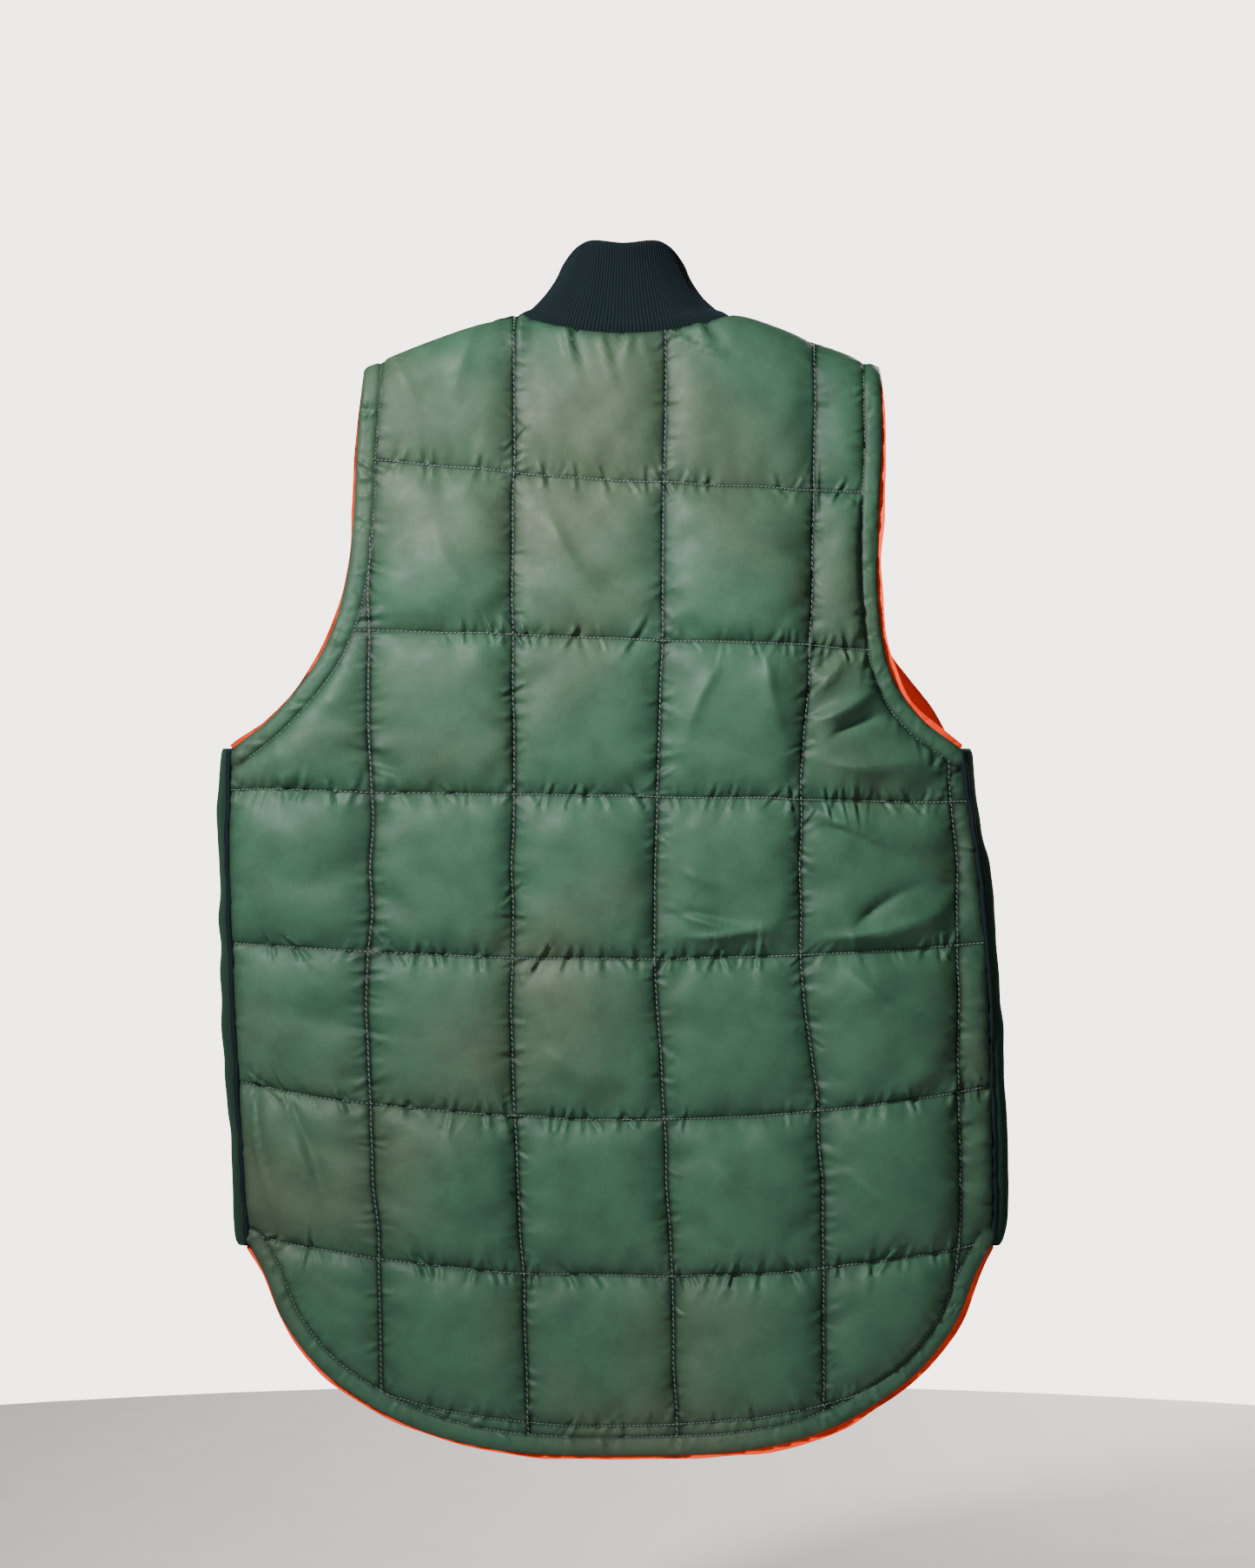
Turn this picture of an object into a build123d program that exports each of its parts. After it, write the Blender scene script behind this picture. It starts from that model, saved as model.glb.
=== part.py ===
from build123d import *
import math
import os

# A quilted, reversible blaze orange hunting vest, hanging from its shoulders with its front unzipped.
# Millimetres. +Z is up, the vest's front faces -Y, its back +Y, and the wearer's left is +X.
# The origin is level with the neck points, midway between front and back, where a hanger bears.

# Outline seen square on from behind
neck_half_width = 73.0
back_neck_drop = 10.0
front_neck_drop = 80.0
neck_edge_height = 2.0
shoulder_end_x = 173.0
shoulder_end_z = -44.0
side_x = 238.0
armhole_bottom_z = -282.0
rib_bottom_z = -612.0
tail_bottom_z = -747.0
front_hem_z = -672.0

# Shape of the shoulder fold and of the hanging panels
shoulder_slope = 0.42
shoulder_rounding = 50.0
fold_half_depth = 24.0
fold_drop = 26.0
side_half_depth = 25.0
back_crown = 27.0
back_crown_depth = 250.0
front_crown = 22.0
front_crown_depth = 700.0
crown_reach = 240.0

# Layers of the quilted panels, as distances outward from the middle of the padding
lining_layer = (-5.0, -4.4)
batting_layer = (-4.2, 4.2)
shell_layer = (4.4, 5.0)

# Fold line of each front: where the front turns back when it is opened
fold_line_top_x = 20.0
fold_line_low_x = 201.0
fold_line_low_z = -612.0
fold_line_gap = 1.0

# Front edge and zipper
front_edge_x = 14.0
batting_edge_x = 27.0
zipper_top_z = -80.0
zipper_length = 580.0
tooth_pitch = 3.0
tooth_tip_x = 6.0
tooth_root_x = 9.0
tape_edge_x = 8.6
tape_sewn_x = 26.0
tape_thickness = 0.7
slider_x = 4.8
slider_length = 14.0
slider_half_width = 5.4
slider_rest_above_end = 8.0
pull_pin_y = 4.8
pull_pin_z = 4.0
pull_pin_radius = 0.7
pull_length = 31.0

# Hand pockets
pocket_inner_x = 32.0
pocket_top_z = -440.0
pocket_bottom_z = -600.0
pocket_mouth_inset = 8.0
pocket_layer = (5.3, 17.3)
pocket_space_layer = (4.0, 15.3)
pocket_seam_width = 4.0

# Knitted parts
rib_reach = 14.0
rib_thickness = 2.4
rib_gap = 0.4
collar_thickness = 4.6

# Collar seam and collar top edge, from the middle of the back round the left side to the front
collar_seam_points = [
    (0, 24.3, -7.0), (40, 22, -3.5), (62, 12, 1.5), (68, 0, 3.5),
    (67, -20, -9), (61, -25.3, -26), (42, -26.8, -55), (17, -27.6, -73),
]
collar_top_points = [
    (0, 14, 55), (24, 7, 57), (37, -11, 47), (45, -38, 30),
    (53, -62, 13), (54, -72, -7), (41, -76, -38), (27, -68, -55),
]

# Sampling of the panel surface
surface_half_width = 246.0
surface_columns = 25
surface_step = 12.0
front_surface_run = 730.0
back_surface_run = 800.0
cut_depth = 130.0


def shoulder_height(x):
    """Height of the shoulder fold, which slopes down from the neck like a hanger."""
    at_neck = math.hypot(neck_half_width, shoulder_rounding)
    return shoulder_slope * (at_neck - math.hypot(x, shoulder_rounding))


def smooth_step(t):
    """Ease from 0 to 1."""
    t = min(max(t, 0.0), 1.0)
    return t * t * (3.0 - 2.0 * t)


def back_swell(x, depth):
    """How much further out than the shoulder fold the back hangs."""
    crown = side_half_depth + back_crown * (1.0 - abs(x / crown_reach) ** 3)
    return (crown - fold_half_depth) * smooth_step(depth / back_crown_depth)


def front_swell(x, depth):
    """How much further out than the shoulder fold the front hangs; straight down the zipper."""
    crown = side_half_depth + front_crown * (1.0 - abs(x / crown_reach) ** 4)
    return (crown - fold_half_depth) * min(depth / front_crown_depth, 1.0)


def panel_point(x, run):
    """Middle of the padding, a distance run over the shoulder fold: + down the back, - down the front."""
    fold_run = math.pi / 2 * (fold_half_depth + fold_drop) / 2
    along = abs(run)
    if along < fold_run:
        turn = along / fold_run * math.pi / 2
        depth = fold_drop * (1.0 - math.cos(turn))
        out = fold_half_depth * math.sin(turn)
    else:
        depth = fold_drop + along - fold_run
        out = fold_half_depth
    height = shoulder_height(x) - depth
    if run >= 0:
        return Vector(x, out + back_swell(x, depth), height)
    return Vector(x, -out - front_swell(x, depth), height)


def panel_normal(x, run):
    """Direction out of the garment at a point of the panel."""
    step = 0.5
    across = panel_point(x + step, run) - panel_point(x - step, run)
    down = panel_point(x, run + step) - panel_point(x, run - step)
    return across.cross(down).normalized()


def matching_edge(edge, face):
    """The edge of a face that runs nearest to an edge."""
    return min(face.edges(), key=lambda other: (other @ 0.5 - edge @ 0.5).length)


def solid_between(near_grid, far_grid):
    """Closed solid between two smooth surfaces, each given by a grid of points."""
    near = Face.make_surface_from_array_of_points(near_grid, min_deg=3)
    far = Face.make_surface_from_array_of_points(far_grid, min_deg=3)
    rims = [Face.make_surface_from_curves(edge, matching_edge(edge, far)) for edge in near.edges()]
    solid = Solid(Shell([near, far] + rims))
    return solid if solid.volume > 0 else Solid(Shell([-face for face in [near, far] + rims]))


def layer_solid(layer):
    """One layer of the whole body, from front hem over the shoulders to tail, before it is cut out."""
    rows = int((front_surface_run + back_surface_run) / surface_step)
    grids = ([], [])
    for row in range(rows + 1):
        run = -front_surface_run + (front_surface_run + back_surface_run) * row / rows
        lines = ([], [])
        for column in range(surface_columns):
            x = surface_half_width * (2.0 * column / (surface_columns - 1) - 1.0)
            middle = panel_point(x, run)
            normal = panel_normal(x, run)
            for line, distance in zip(lines, layer):
                line.append(middle + normal * distance)
        for grid, line in zip(grids, lines):
            grid.append(line)
    return solid_between(*grids)


def outline_prism(edges, y_low, y_high):
    """A cutter with an outline drawn in X and Z, running from y_low to y_high."""
    sketch_plane = Plane(origin=(0, y_high, 0), x_dir=(1, 0, 0), z_dir=(0, -1, 0))
    face = make_face(sketch_plane * edges)
    return extrude(face, amount=y_high - y_low, dir=(0, -1, 0))


def mirrored_points(points):
    """The same outline points on the wearer's right, in reverse order."""
    return [(-x, z) for x, z in reversed(points)]


def armhole_points():
    """Armhole edge of the left side, from the shoulder end to the underarm."""
    return [
        (shoulder_end_x, shoulder_end_z),
        (174.5, -86),
        (174, -125),
        (175, -165),
        (180, -200),
        (188, -225),
        (213, -262),
        (side_x, armhole_bottom_z),
    ]


def back_outline():
    """The back panel: neckline, shoulders, armholes, sides and rounded tail."""
    above = 60.0
    armhole = armhole_points()
    tail = [(side_x, rib_bottom_z), (230, -629), (220, -659), (196, -692), (160, -718), (0, tail_bottom_z)]
    tail = tail + mirrored_points(tail)[1:]
    corner = (neck_half_width, neck_edge_height)
    edges = Curve() + ThreePointArc(
        (-neck_half_width, neck_edge_height), (0, -back_neck_drop), corner
    )
    edges += Polyline(corner, (neck_half_width, above), (shoulder_end_x, above), armhole[0])
    edges += Spline(armhole)
    edges += Line(armhole[-1], tail[0])
    edges += Spline(tail)
    edges += Line(tail[-1], (-side_x, armhole_bottom_z))
    edges += Spline(mirrored_points(armhole))
    edges += Polyline(
        (-shoulder_end_x, shoulder_end_z),
        (-shoulder_end_x, above),
        (-neck_half_width, above),
        (-neck_half_width, neck_edge_height),
    )
    return edges


def front_outline(edge_x):
    """The left front panel, with its zipper edge at edge_x."""
    above = 60.0
    armhole = armhole_points()
    corner = (neck_half_width, neck_edge_height)
    neckline = [corner, (66, -30), (45, -61), (edge_x, -front_neck_drop)]
    hem = [(side_x, rib_bottom_z), (230, -628), (200, -652), (120, -669), (edge_x, front_hem_z)]
    edges = Curve() + Spline(neckline)
    edges += Polyline(corner, (neck_half_width, above), (shoulder_end_x, above), armhole[0])
    edges += Spline(armhole)
    edges += Line(armhole[-1], hem[0])
    edges += Spline(hem)
    edges += Line(hem[-1], neckline[-1])
    return edges


def fold_line_x(z):
    """Where the fold line of the left front lies at a height."""
    return fold_line_top_x + (fold_line_low_x - fold_line_top_x) * z / fold_line_low_z


def beside_fold_line(inset, far_x):
    """Cutter for everything between the fold line, moved towards the zipper by inset, and far_x."""
    slant = math.hypot(1.0, (fold_line_low_x - fold_line_top_x) / fold_line_low_z)
    high, low = 100.0, -800.0
    edge_top = (fold_line_x(high) - inset * slant, high)
    edge_low = (fold_line_x(low) - inset * slant, low)
    edges = Curve() + Polyline(edge_top, (far_x, high), (far_x, low), edge_low, close=True)
    return outline_prism(edges, -cut_depth, 0)


def quilted_nodes():
    """Shell, padding and lining of the back, of each front's fixed side and of each front's opening flap."""
    nodes = {}
    outward = beside_fold_line(-fold_line_gap / 2, 300.0)
    inward = beside_fold_line(fold_line_gap / 2, -300.0)
    for name, layer in (("shell", shell_layer), ("batting", batting_layer), ("lining", lining_layer)):
        body = layer_solid(layer)
        edge_x = batting_edge_x if name == "batting" else front_edge_x
        front = body & outline_prism(front_outline(edge_x), -cut_depth, 0)
        nodes["back_" + name] = body & outline_prism(back_outline(), 0, cut_depth)
        for side, half in (("left", front), ("right", front.mirror(Plane.YZ))):
            keep_side, keep_flap = outward, inward
            if side == "right":
                keep_side, keep_flap = outward.mirror(Plane.YZ), inward.mirror(Plane.YZ)
            nodes[f"front_{side}_side_{name}"] = half & keep_side
            nodes[f"front_{side}_flap_{name}"] = half & keep_flap
    return nodes


def pocket_outline(margin, past_mouth):
    """Hand pocket with a slanted mouth beside the fold line, drawn margin inside its seams."""
    slant = math.hypot(1.0, (fold_line_low_x - fold_line_top_x) / fold_line_low_z)
    mouth = pocket_mouth_inset * slant - past_mouth
    inner = pocket_inner_x + margin
    top = pocket_top_z - margin
    low = pocket_bottom_z + margin
    mouth_top = (fold_line_x(top) - mouth, top)
    mouth_low = (fold_line_x(low) - mouth, low)
    return Curve() + Polyline((inner, top), mouth_top, mouth_low, (inner, low), close=True)


def hand_pocket():
    """Patch pocket on the outside of the left front, open along its slanted edge."""
    patch = layer_solid(pocket_layer) & outline_prism(pocket_outline(0.0, 0.0), -cut_depth, 0)
    inside = pocket_outline(pocket_seam_width, 20.0)
    space = layer_solid(pocket_space_layer) & outline_prism(inside, -cut_depth, 0)
    return patch - space


def side_rib():
    """Elastic rib-knit panel that joins the back and front under the left arm."""
    seam_x = side_x + rib_gap
    half_depth = side_half_depth
    ring = Ellipse(rib_reach, half_depth) - Ellipse(rib_reach - rib_thickness, half_depth - rib_thickness)
    ring &= Pos(rib_reach, 0) * Rectangle(2 * rib_reach, 4 * half_depth)
    height = armhole_bottom_z - rib_bottom_z
    return extrude(Pos(seam_x, 0, rib_bottom_z) * ring, amount=height)


def knitted_collar():
    """Rib-knit stand collar: upright behind the neck, falling forward and open at the front."""
    seam_line = Spline([(-x, y, z) for x, y, z in reversed(collar_seam_points[1:])] + collar_seam_points)
    top_line = Spline([(-x, y, z) for x, y, z in reversed(collar_top_points[1:])] + collar_top_points)
    stations = 60
    rows = 6
    grid = []
    for station in range(stations + 1):
        low = seam_line @ (station / stations)
        high = top_line @ (station / stations)
        grid.append([low + (high - low) * (row / rows) for row in range(rows + 1)])
    face = Face.make_surface_from_array_of_points(grid)
    both_sides = Solid.thicken(face, collar_thickness / 2) + Solid.thicken(face, -collar_thickness / 2)
    return both_sides


def zipper_frame():
    """Frame of the zipper: origin at its top, Z up along the teeth, Y inward, X to the wearer's left."""
    crown = side_half_depth + front_crown
    slope = (crown - fold_half_depth) / front_crown_depth
    depth = shoulder_height(0) - zipper_top_z
    top_y = -fold_half_depth - slope * depth
    return Plane(origin=(0, top_y, zipper_top_z), x_dir=(1, 0, 0), z_dir=(0, slope, 1))


def block(x_low, x_high, y_low, y_high, z_low, z_high):
    """A box between two corners."""
    centre = ((x_low + x_high) / 2, (y_low + y_high) / 2, (z_low + z_high) / 2)
    return Pos(*centre) * Box(x_high - x_low, y_high - y_low, z_high - z_low)


def zipper_tape():
    """Woven tape, from the teeth into the seam of the left front."""
    half = tape_thickness / 2
    return block(tape_edge_x, tape_sewn_x, -half, half, -zipper_length - 6, 0)


def zipper_teeth(first, last):
    """Moulded teeth, each with a narrow neck and a wider head towards the opening."""
    half_height = 0.85
    half_depth = 1.3
    head_x = tooth_tip_x + 1.2
    outline = Polyline(
        (tooth_root_x, -half_height),
        (head_x, -half_height * 0.6),
        (tooth_tip_x + 0.4, -half_height),
        (tooth_tip_x, 0),
        (tooth_tip_x + 0.4, half_height),
        (head_x, half_height * 0.6),
        (tooth_root_x, half_height),
        close=True,
    )
    tooth = extrude(Plane.XZ * make_face(outline), amount=half_depth, both=True)
    count = int((first - last) / tooth_pitch)
    return Compound([Pos(0, 0, first - tooth_pitch * number) * tooth for number in range(count + 1)])


def top_stop():
    """Stop clamped on the tape above the first tooth."""
    return block(tooth_tip_x + 0.4, tooth_root_x + 0.6, -1.6, 1.6, -2.2, 0.8)


def retaining_box():
    """Box at the foot of the left teeth, with the socket that takes the insertion pin."""
    body = block(0.2, tooth_root_x + 0.6, -2.3, 2.3, -zipper_length - 9, -zipper_length)
    socket = block(1.2, 4.2, -1.4, 1.4, -zipper_length - 7.5, -zipper_length + 1)
    return body - socket


def insertion_pin():
    """Pin at the foot of the right teeth, in the left side's coordinates before mirroring."""
    return block(tooth_tip_x + 0.8, tooth_root_x, -1.1, 1.1, -zipper_length - 7, -zipper_length + 9)


def slider_centre_z():
    """Height of the slider's middle on the zipper when the vest is open."""
    return -zipper_length + slider_rest_above_end


def slider_body():
    """Two plates joined by a wedge, with flanges round each row of teeth and a bridge for each pull tab."""
    half_length = slider_length / 2
    plate_in, plate_out = 1.7, 2.7
    tape_slot = 0.7
    lug_inner, lug_outer = 2.2, 3.2
    body = block(-1, 1, -plate_in, plate_in, 0, half_length)
    for face in (-1, 1):
        near, far = sorted((face * plate_in, face * plate_out))
        body += block(-slider_half_width, slider_half_width, near, far, -half_length, half_length)
        near, far = sorted((face * tape_slot, face * plate_in))
        for edge in (-1, 1):
            left, right = sorted((edge * (slider_half_width - 1), edge * slider_half_width))
            body += block(left, right, near, far, -half_length, half_length)
            left, right = sorted((edge * lug_inner, edge * lug_outer))
            near_lug, far_lug = sorted((face * plate_in, face * (pull_pin_y + 1.3)))
            body += block(left, right, near_lug, far_lug, pull_pin_z - 1.6, pull_pin_z + 1.6)
        pin = Pos(0, face * pull_pin_y, pull_pin_z) * Rot(0, 90, 0) * Cylinder(pull_pin_radius, 2 * lug_outer)
        body += pin
    return Pos(slider_x, 0, slider_centre_z()) * body


def pull_tab(face):
    """Flat tab hanging from a bridge of the slider: face -1 outside the vest, 1 inside."""
    eye_radius = 1.85
    hole_radius = 0.95
    half_eye = 1.9
    half_thickness = 0.7
    half_width = 3.8
    eye = Rot(0, 90, 0) * (Cylinder(eye_radius, 2 * half_eye) - Cylinder(hole_radius, 2 * half_eye + 1))
    outline = Polyline(
        (-half_eye, -1.3),
        (-half_eye, -9),
        (-half_width, -13),
        (-half_width, -pull_length + 3),
        (-half_width + 3, -pull_length),
        (half_width - 3, -pull_length),
        (half_width, -pull_length + 3),
        (half_width, -13),
        (half_eye, -9),
        (half_eye, -1.3),
        close=True,
    )
    tab = extrude(Plane.XZ * make_face(outline), amount=half_thickness, both=True)
    tab -= block(-1.5, 1.5, -2, 2, -pull_length + 3, -16)
    centre = Pos(slider_x, face * pull_pin_y, slider_centre_z() + pull_pin_z)
    return centre * (eye + tab)


def zipper_nodes():
    """Both halves of the separating zipper, unzipped, with the slider at the foot of the left half."""
    frame = zipper_frame()
    across = Plane.YZ
    tooth_top = -3.5
    left_teeth = zipper_teeth(tooth_top, -zipper_length + 1.5)
    right_teeth = zipper_teeth(tooth_top, -zipper_length + 11).mirror(across)
    nodes = {
        "zipper_tape_left": zipper_tape(),
        "zipper_tape_right": zipper_tape().mirror(across),
        "zipper_teeth_left": left_teeth,
        "zipper_teeth_right": right_teeth,
        "zipper_top_stop_left": top_stop(),
        "zipper_top_stop_right": top_stop().mirror(across),
        "zipper_retaining_box": retaining_box(),
        "zipper_insertion_pin": insertion_pin().mirror(across),
        "zipper_slider": slider_body(),
        "zipper_pull_outer": pull_tab(-1),
        "zipper_pull_inner": pull_tab(1),
    }
    return {name: shape.moved(frame.location) for name, shape in nodes.items()}


def vest_nodes():
    """Every piece of the vest, by name."""
    nodes = quilted_nodes()
    left_pocket = hand_pocket()
    nodes["pocket_left"] = left_pocket
    nodes["pocket_right"] = left_pocket.mirror(Plane.YZ)
    left_rib = side_rib()
    nodes["side_rib_left"] = left_rib
    nodes["side_rib_right"] = left_rib.mirror(Plane.YZ)
    nodes["collar"] = knitted_collar()
    nodes.update(zipper_nodes())
    return nodes


os.makedirs("parts", exist_ok=True)
for node_name, node_shape in vest_nodes().items():
    export_step(node_shape, f"parts/{node_name}.step")
    print(f"{node_name}: {len(node_shape.solids())} solid(s), {node_shape.volume:.0f} mm3")
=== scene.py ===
import math
import bpy
import numpy as np
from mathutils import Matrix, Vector, geometry, kdtree


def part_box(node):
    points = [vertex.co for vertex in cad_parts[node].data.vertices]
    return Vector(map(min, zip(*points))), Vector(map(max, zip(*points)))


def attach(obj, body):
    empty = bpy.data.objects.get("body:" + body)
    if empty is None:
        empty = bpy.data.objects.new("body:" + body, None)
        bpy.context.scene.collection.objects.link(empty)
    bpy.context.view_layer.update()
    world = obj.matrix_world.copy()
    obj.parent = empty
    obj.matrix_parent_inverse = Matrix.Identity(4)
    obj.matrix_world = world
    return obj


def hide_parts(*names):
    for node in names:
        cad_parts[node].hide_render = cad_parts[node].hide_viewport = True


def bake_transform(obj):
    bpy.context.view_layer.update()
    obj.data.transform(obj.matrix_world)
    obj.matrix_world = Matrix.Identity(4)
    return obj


# A quilted reversible hunting vest, hanging open, seen from behind. Metres, in the CAD model's frame:
# +Z up, the back faces +Y, the front -Y, the wearer's left is +X.

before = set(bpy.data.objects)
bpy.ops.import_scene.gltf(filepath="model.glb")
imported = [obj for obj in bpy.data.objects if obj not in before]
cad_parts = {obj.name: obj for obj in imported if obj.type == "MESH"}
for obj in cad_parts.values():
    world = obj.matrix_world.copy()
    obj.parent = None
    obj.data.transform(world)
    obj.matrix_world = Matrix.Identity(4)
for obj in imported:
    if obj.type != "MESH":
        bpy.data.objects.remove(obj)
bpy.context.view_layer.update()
rng = np.random.default_rng(11)

# Sizes taken from the frame
SIDE_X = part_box("back_shell")[1].x
TAIL_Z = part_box("back_shell")[0].z
FRONT_HEM_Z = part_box("front_left_flap_shell")[0].z
FRONT_EDGE_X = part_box("front_left_flap_shell")[0].x
RIB_BOTTOM_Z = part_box("side_rib_left")[0].z
RIB_TOP_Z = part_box("side_rib_left")[1].z
RIB_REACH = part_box("side_rib_left")[1].x - SIDE_X
ZIPPER_TOP_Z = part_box("zipper_tape_left")[1].z

# Shape of the hanging panels, as the CAD slabs have it
SHOULDER_SLOPE = 0.42
SHOULDER_ROUNDING = 0.050
SHOULDER_RISE = 0.004
SHOULDER_RISE_DEPTH = 0.140
NECK_HALF_WIDTH = 0.073
NECK_SEAM_X = 0.070
SHOULDER_END_X = 0.173
ARMHOLE_SHALLOWER = {1: 0.006, -1: 0.017}
FOLD_HALF_DEPTH = 0.024
FOLD_DROP = 0.026
FOLD_RUN = math.pi / 2 * (FOLD_HALF_DEPTH + FOLD_DROP) / 2
SIDE_HALF_DEPTH = 0.025
BACK_CROWN, BACK_CROWN_DEPTH = 0.027, 0.250
FRONT_CROWN, FRONT_CROWN_DEPTH = 0.022, 0.700
CROWN_REACH = 0.240
BACK_NECK_Z = -0.010
BACK_NECK_ARC = 0.228
BACK, FRONT = 1, -1

# How far the garment hangs to one side, at heights down its left and right edges (+ is towards its left)
LEAN_LEFT = [(0.02, 0.0), (-0.05, 0.001), (-0.19, 0.011), (-0.28, 0.021), (-0.33, 0.023), (-0.42, 0.021),
             (-0.50, 0.017), (-0.60, 0.011), (-0.66, 0.006), (-0.80, 0.0)]
LEAN_RIGHT = [(0.02, 0.0), (-0.05, 0.002), (-0.19, 0.010), (-0.26, 0.016), (-0.30, 0.013), (-0.35, 0.005),
              (-0.42, -0.002), (-0.50, -0.005), (-0.60, -0.006), (-0.66, -0.001), (-0.80, 0.0)]
LEAN_FROM, LEAN_FULL = 0.100, 0.200

# Fold line of a front
FOLD_TOP = (0.020, 0.0)
FOLD_LOW = (0.201, -0.612)

# Quilting
STITCHED_LIFT = 0.0012
PUFF_HEIGHT = 0.0100
LINING_PUFF = 0.0060
CREASE_BOW = 0.07
BAND_WIDTH = 0.0125
BAND_HEIGHT = 0.0030
PLACKET_WIDTH = 0.008
EDGE_STEP = 0.0020
LINE_STEP = 0.0013
FILL_STEP = 0.0033
BESIDE_LINE = (0.0, 0.0011, 0.0023, 0.0036, 0.0050, 0.0066)
CELL_STEPS = (38, 40)
CELL_SIZE = (0.098, 0.104)
CELL_BLOCK = 4
CLOTH_FRAMES = 20

# Thread: its width, how far it lies on the cloth, and (pitch, slant) of each kind of stitch
THREAD_WIDTH = 0.0009
THREAD_LIFT = 0.0002
COLUMN_STITCH = (0.0036, 0.30)
ROW_STITCH = (0.0026, 0.06)
EDGE_STITCH = (0.0027, 0.06)

# Pockets, knit and stage
POCKET_INNER_X = 0.032
POCKET_TOP_Z = -0.440
POCKET_BOTTOM_Z = -0.600
POCKET_MOUTH_GAP = 0.008
POCKET_SWELL = 0.0065
POCKET_SEAM = 0.004
POCKET_HEM = 0.010
POCKET_THICKNESS = 0.0013
WALE_HEIGHT = 0.0006
COLLAR_WALES = {"back": 98, "left": 70, "right": 70}
COLLAR_COURSES = 52
COLLAR_TUCK = 0.004
RIB_WALES = 56
RIB_COURSES = 300
RIB_THICKNESS = 0.0022
SEAM_SIDES = 12
FLOOR_Z = -0.95
FLOOR_RADIUS = 1.6
WORLD_LIGHT = 0.10
WORLD_SEEN = 4.6


# ---------------------------------------------------------------- shape of the garment

def shoulder_height(x):
    """Height of the shoulder fold."""
    at_neck = math.hypot(NECK_HALF_WIDTH, SHOULDER_ROUNDING)
    return SHOULDER_SLOPE * (at_neck - np.hypot(x, SHOULDER_ROUNDING))


def ease(t):
    """Smooth step from 0 to 1."""
    t = np.clip(t, 0.0, 1.0)
    return t * t * (3.0 - 2.0 * t)


def cubic(t, span, values, slopes, k):
    """Cubic between knots k and k + 1 with given values and slopes at the knots."""
    start = (2 * t**3 - 3 * t**2 + 1) * values[k] + (t**3 - 2 * t**2 + t) * span * slopes[k]
    end = (3 * t**2 - 2 * t**3) * values[k + 1] + (t**3 - t**2) * span * slopes[k + 1]
    return start + end


def smooth_at(at, knots):
    """A smooth curve through (place, value) knots, read at some places."""
    knots = np.array(sorted(knots), float)
    place, value = knots[:, 0], knots[:, 1]
    slope = np.gradient(value, place)
    at = np.clip(at, place[0], place[-1])
    k = np.clip(np.searchsorted(place, at, side="right") - 1, 0, len(place) - 2)
    span = place[k + 1] - place[k]
    return cubic((at - place[k]) / span, span, value, slope, k)


def lean(x, v):
    """Sideways shift of the hanging cloth, which grows towards the sides."""
    left, right = smooth_at(v, LEAN_LEFT), smooth_at(v, LEAN_RIGHT)
    return np.where(x > 0, left, right) * ease((np.abs(x) - LEAN_FROM) / (LEAN_FULL - LEAN_FROM))


def middle(x, v, face):
    """Middle of the padding. v is the height that cloth would have if it hung straight down from its fold."""
    depth = shoulder_height(x) - v
    run = FOLD_RUN + depth - FOLD_DROP
    turn = np.clip(run / FOLD_RUN, 0.0, 1.0) * math.pi / 2
    folded = run < FOLD_RUN
    depth = np.where(folded, FOLD_DROP * (1.0 - np.cos(turn)), depth)
    out = FOLD_HALF_DEPTH * np.sin(turn)
    if face == BACK:
        crown = SIDE_HALF_DEPTH + BACK_CROWN * (1.0 - np.abs(x / CROWN_REACH) ** 3)
        out = out + (crown - FOLD_HALF_DEPTH) * ease(depth / BACK_CROWN_DEPTH)
    else:
        crown = SIDE_HALF_DEPTH + FRONT_CROWN * (1.0 - np.abs(x / CROWN_REACH) ** 4)
        out = out + (crown - FOLD_HALF_DEPTH) * np.minimum(depth / FRONT_CROWN_DEPTH, 1.0)
    rise = SHOULDER_RISE + SHOULDER_RISE * ease(np.abs(x) / SHOULDER_END_X)
    rise = rise * (1.0 - ease(depth / SHOULDER_RISE_DEPTH))
    return np.stack([x + lean(x, v), face * out, shoulder_height(x) - depth + rise], -1)


def outward(x, v, face):
    """Direction out of the garment."""
    step = 0.0005
    across = middle(x + step, v, face) - middle(x - step, v, face)
    down = middle(x, v - step, face) - middle(x, v + step, face)
    normal = np.cross(across, down) * face
    return normal / np.linalg.norm(normal, axis=-1, keepdims=True)


def surface(x, v, face, lift):
    """Point of the cloth at a lift out from the middle of the padding."""
    x, v = np.asarray(x, float), np.asarray(v, float)
    return middle(x, v, face) + outward(x, v, face) * np.asarray(lift, float)[..., None]


def flat_v(x, z):
    """The v of a place that hangs at height z."""
    x, z = np.asarray(x, float), np.asarray(z, float)
    depth = np.maximum(shoulder_height(x) - z, 0.0)
    turn = np.arccos(np.clip(1.0 - depth / FOLD_DROP, -1.0, 1.0))
    curled = shoulder_height(x) - FOLD_DROP + FOLD_RUN * (1.0 - turn / (math.pi / 2))
    return np.where(depth < FOLD_DROP, curled, z)


def seam_v(x):
    """The v of the shoulder seam, on top of the fold."""
    return shoulder_height(x) - FOLD_DROP + FOLD_RUN


# ---------------------------------------------------------------- outlines and flat meshes

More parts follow.
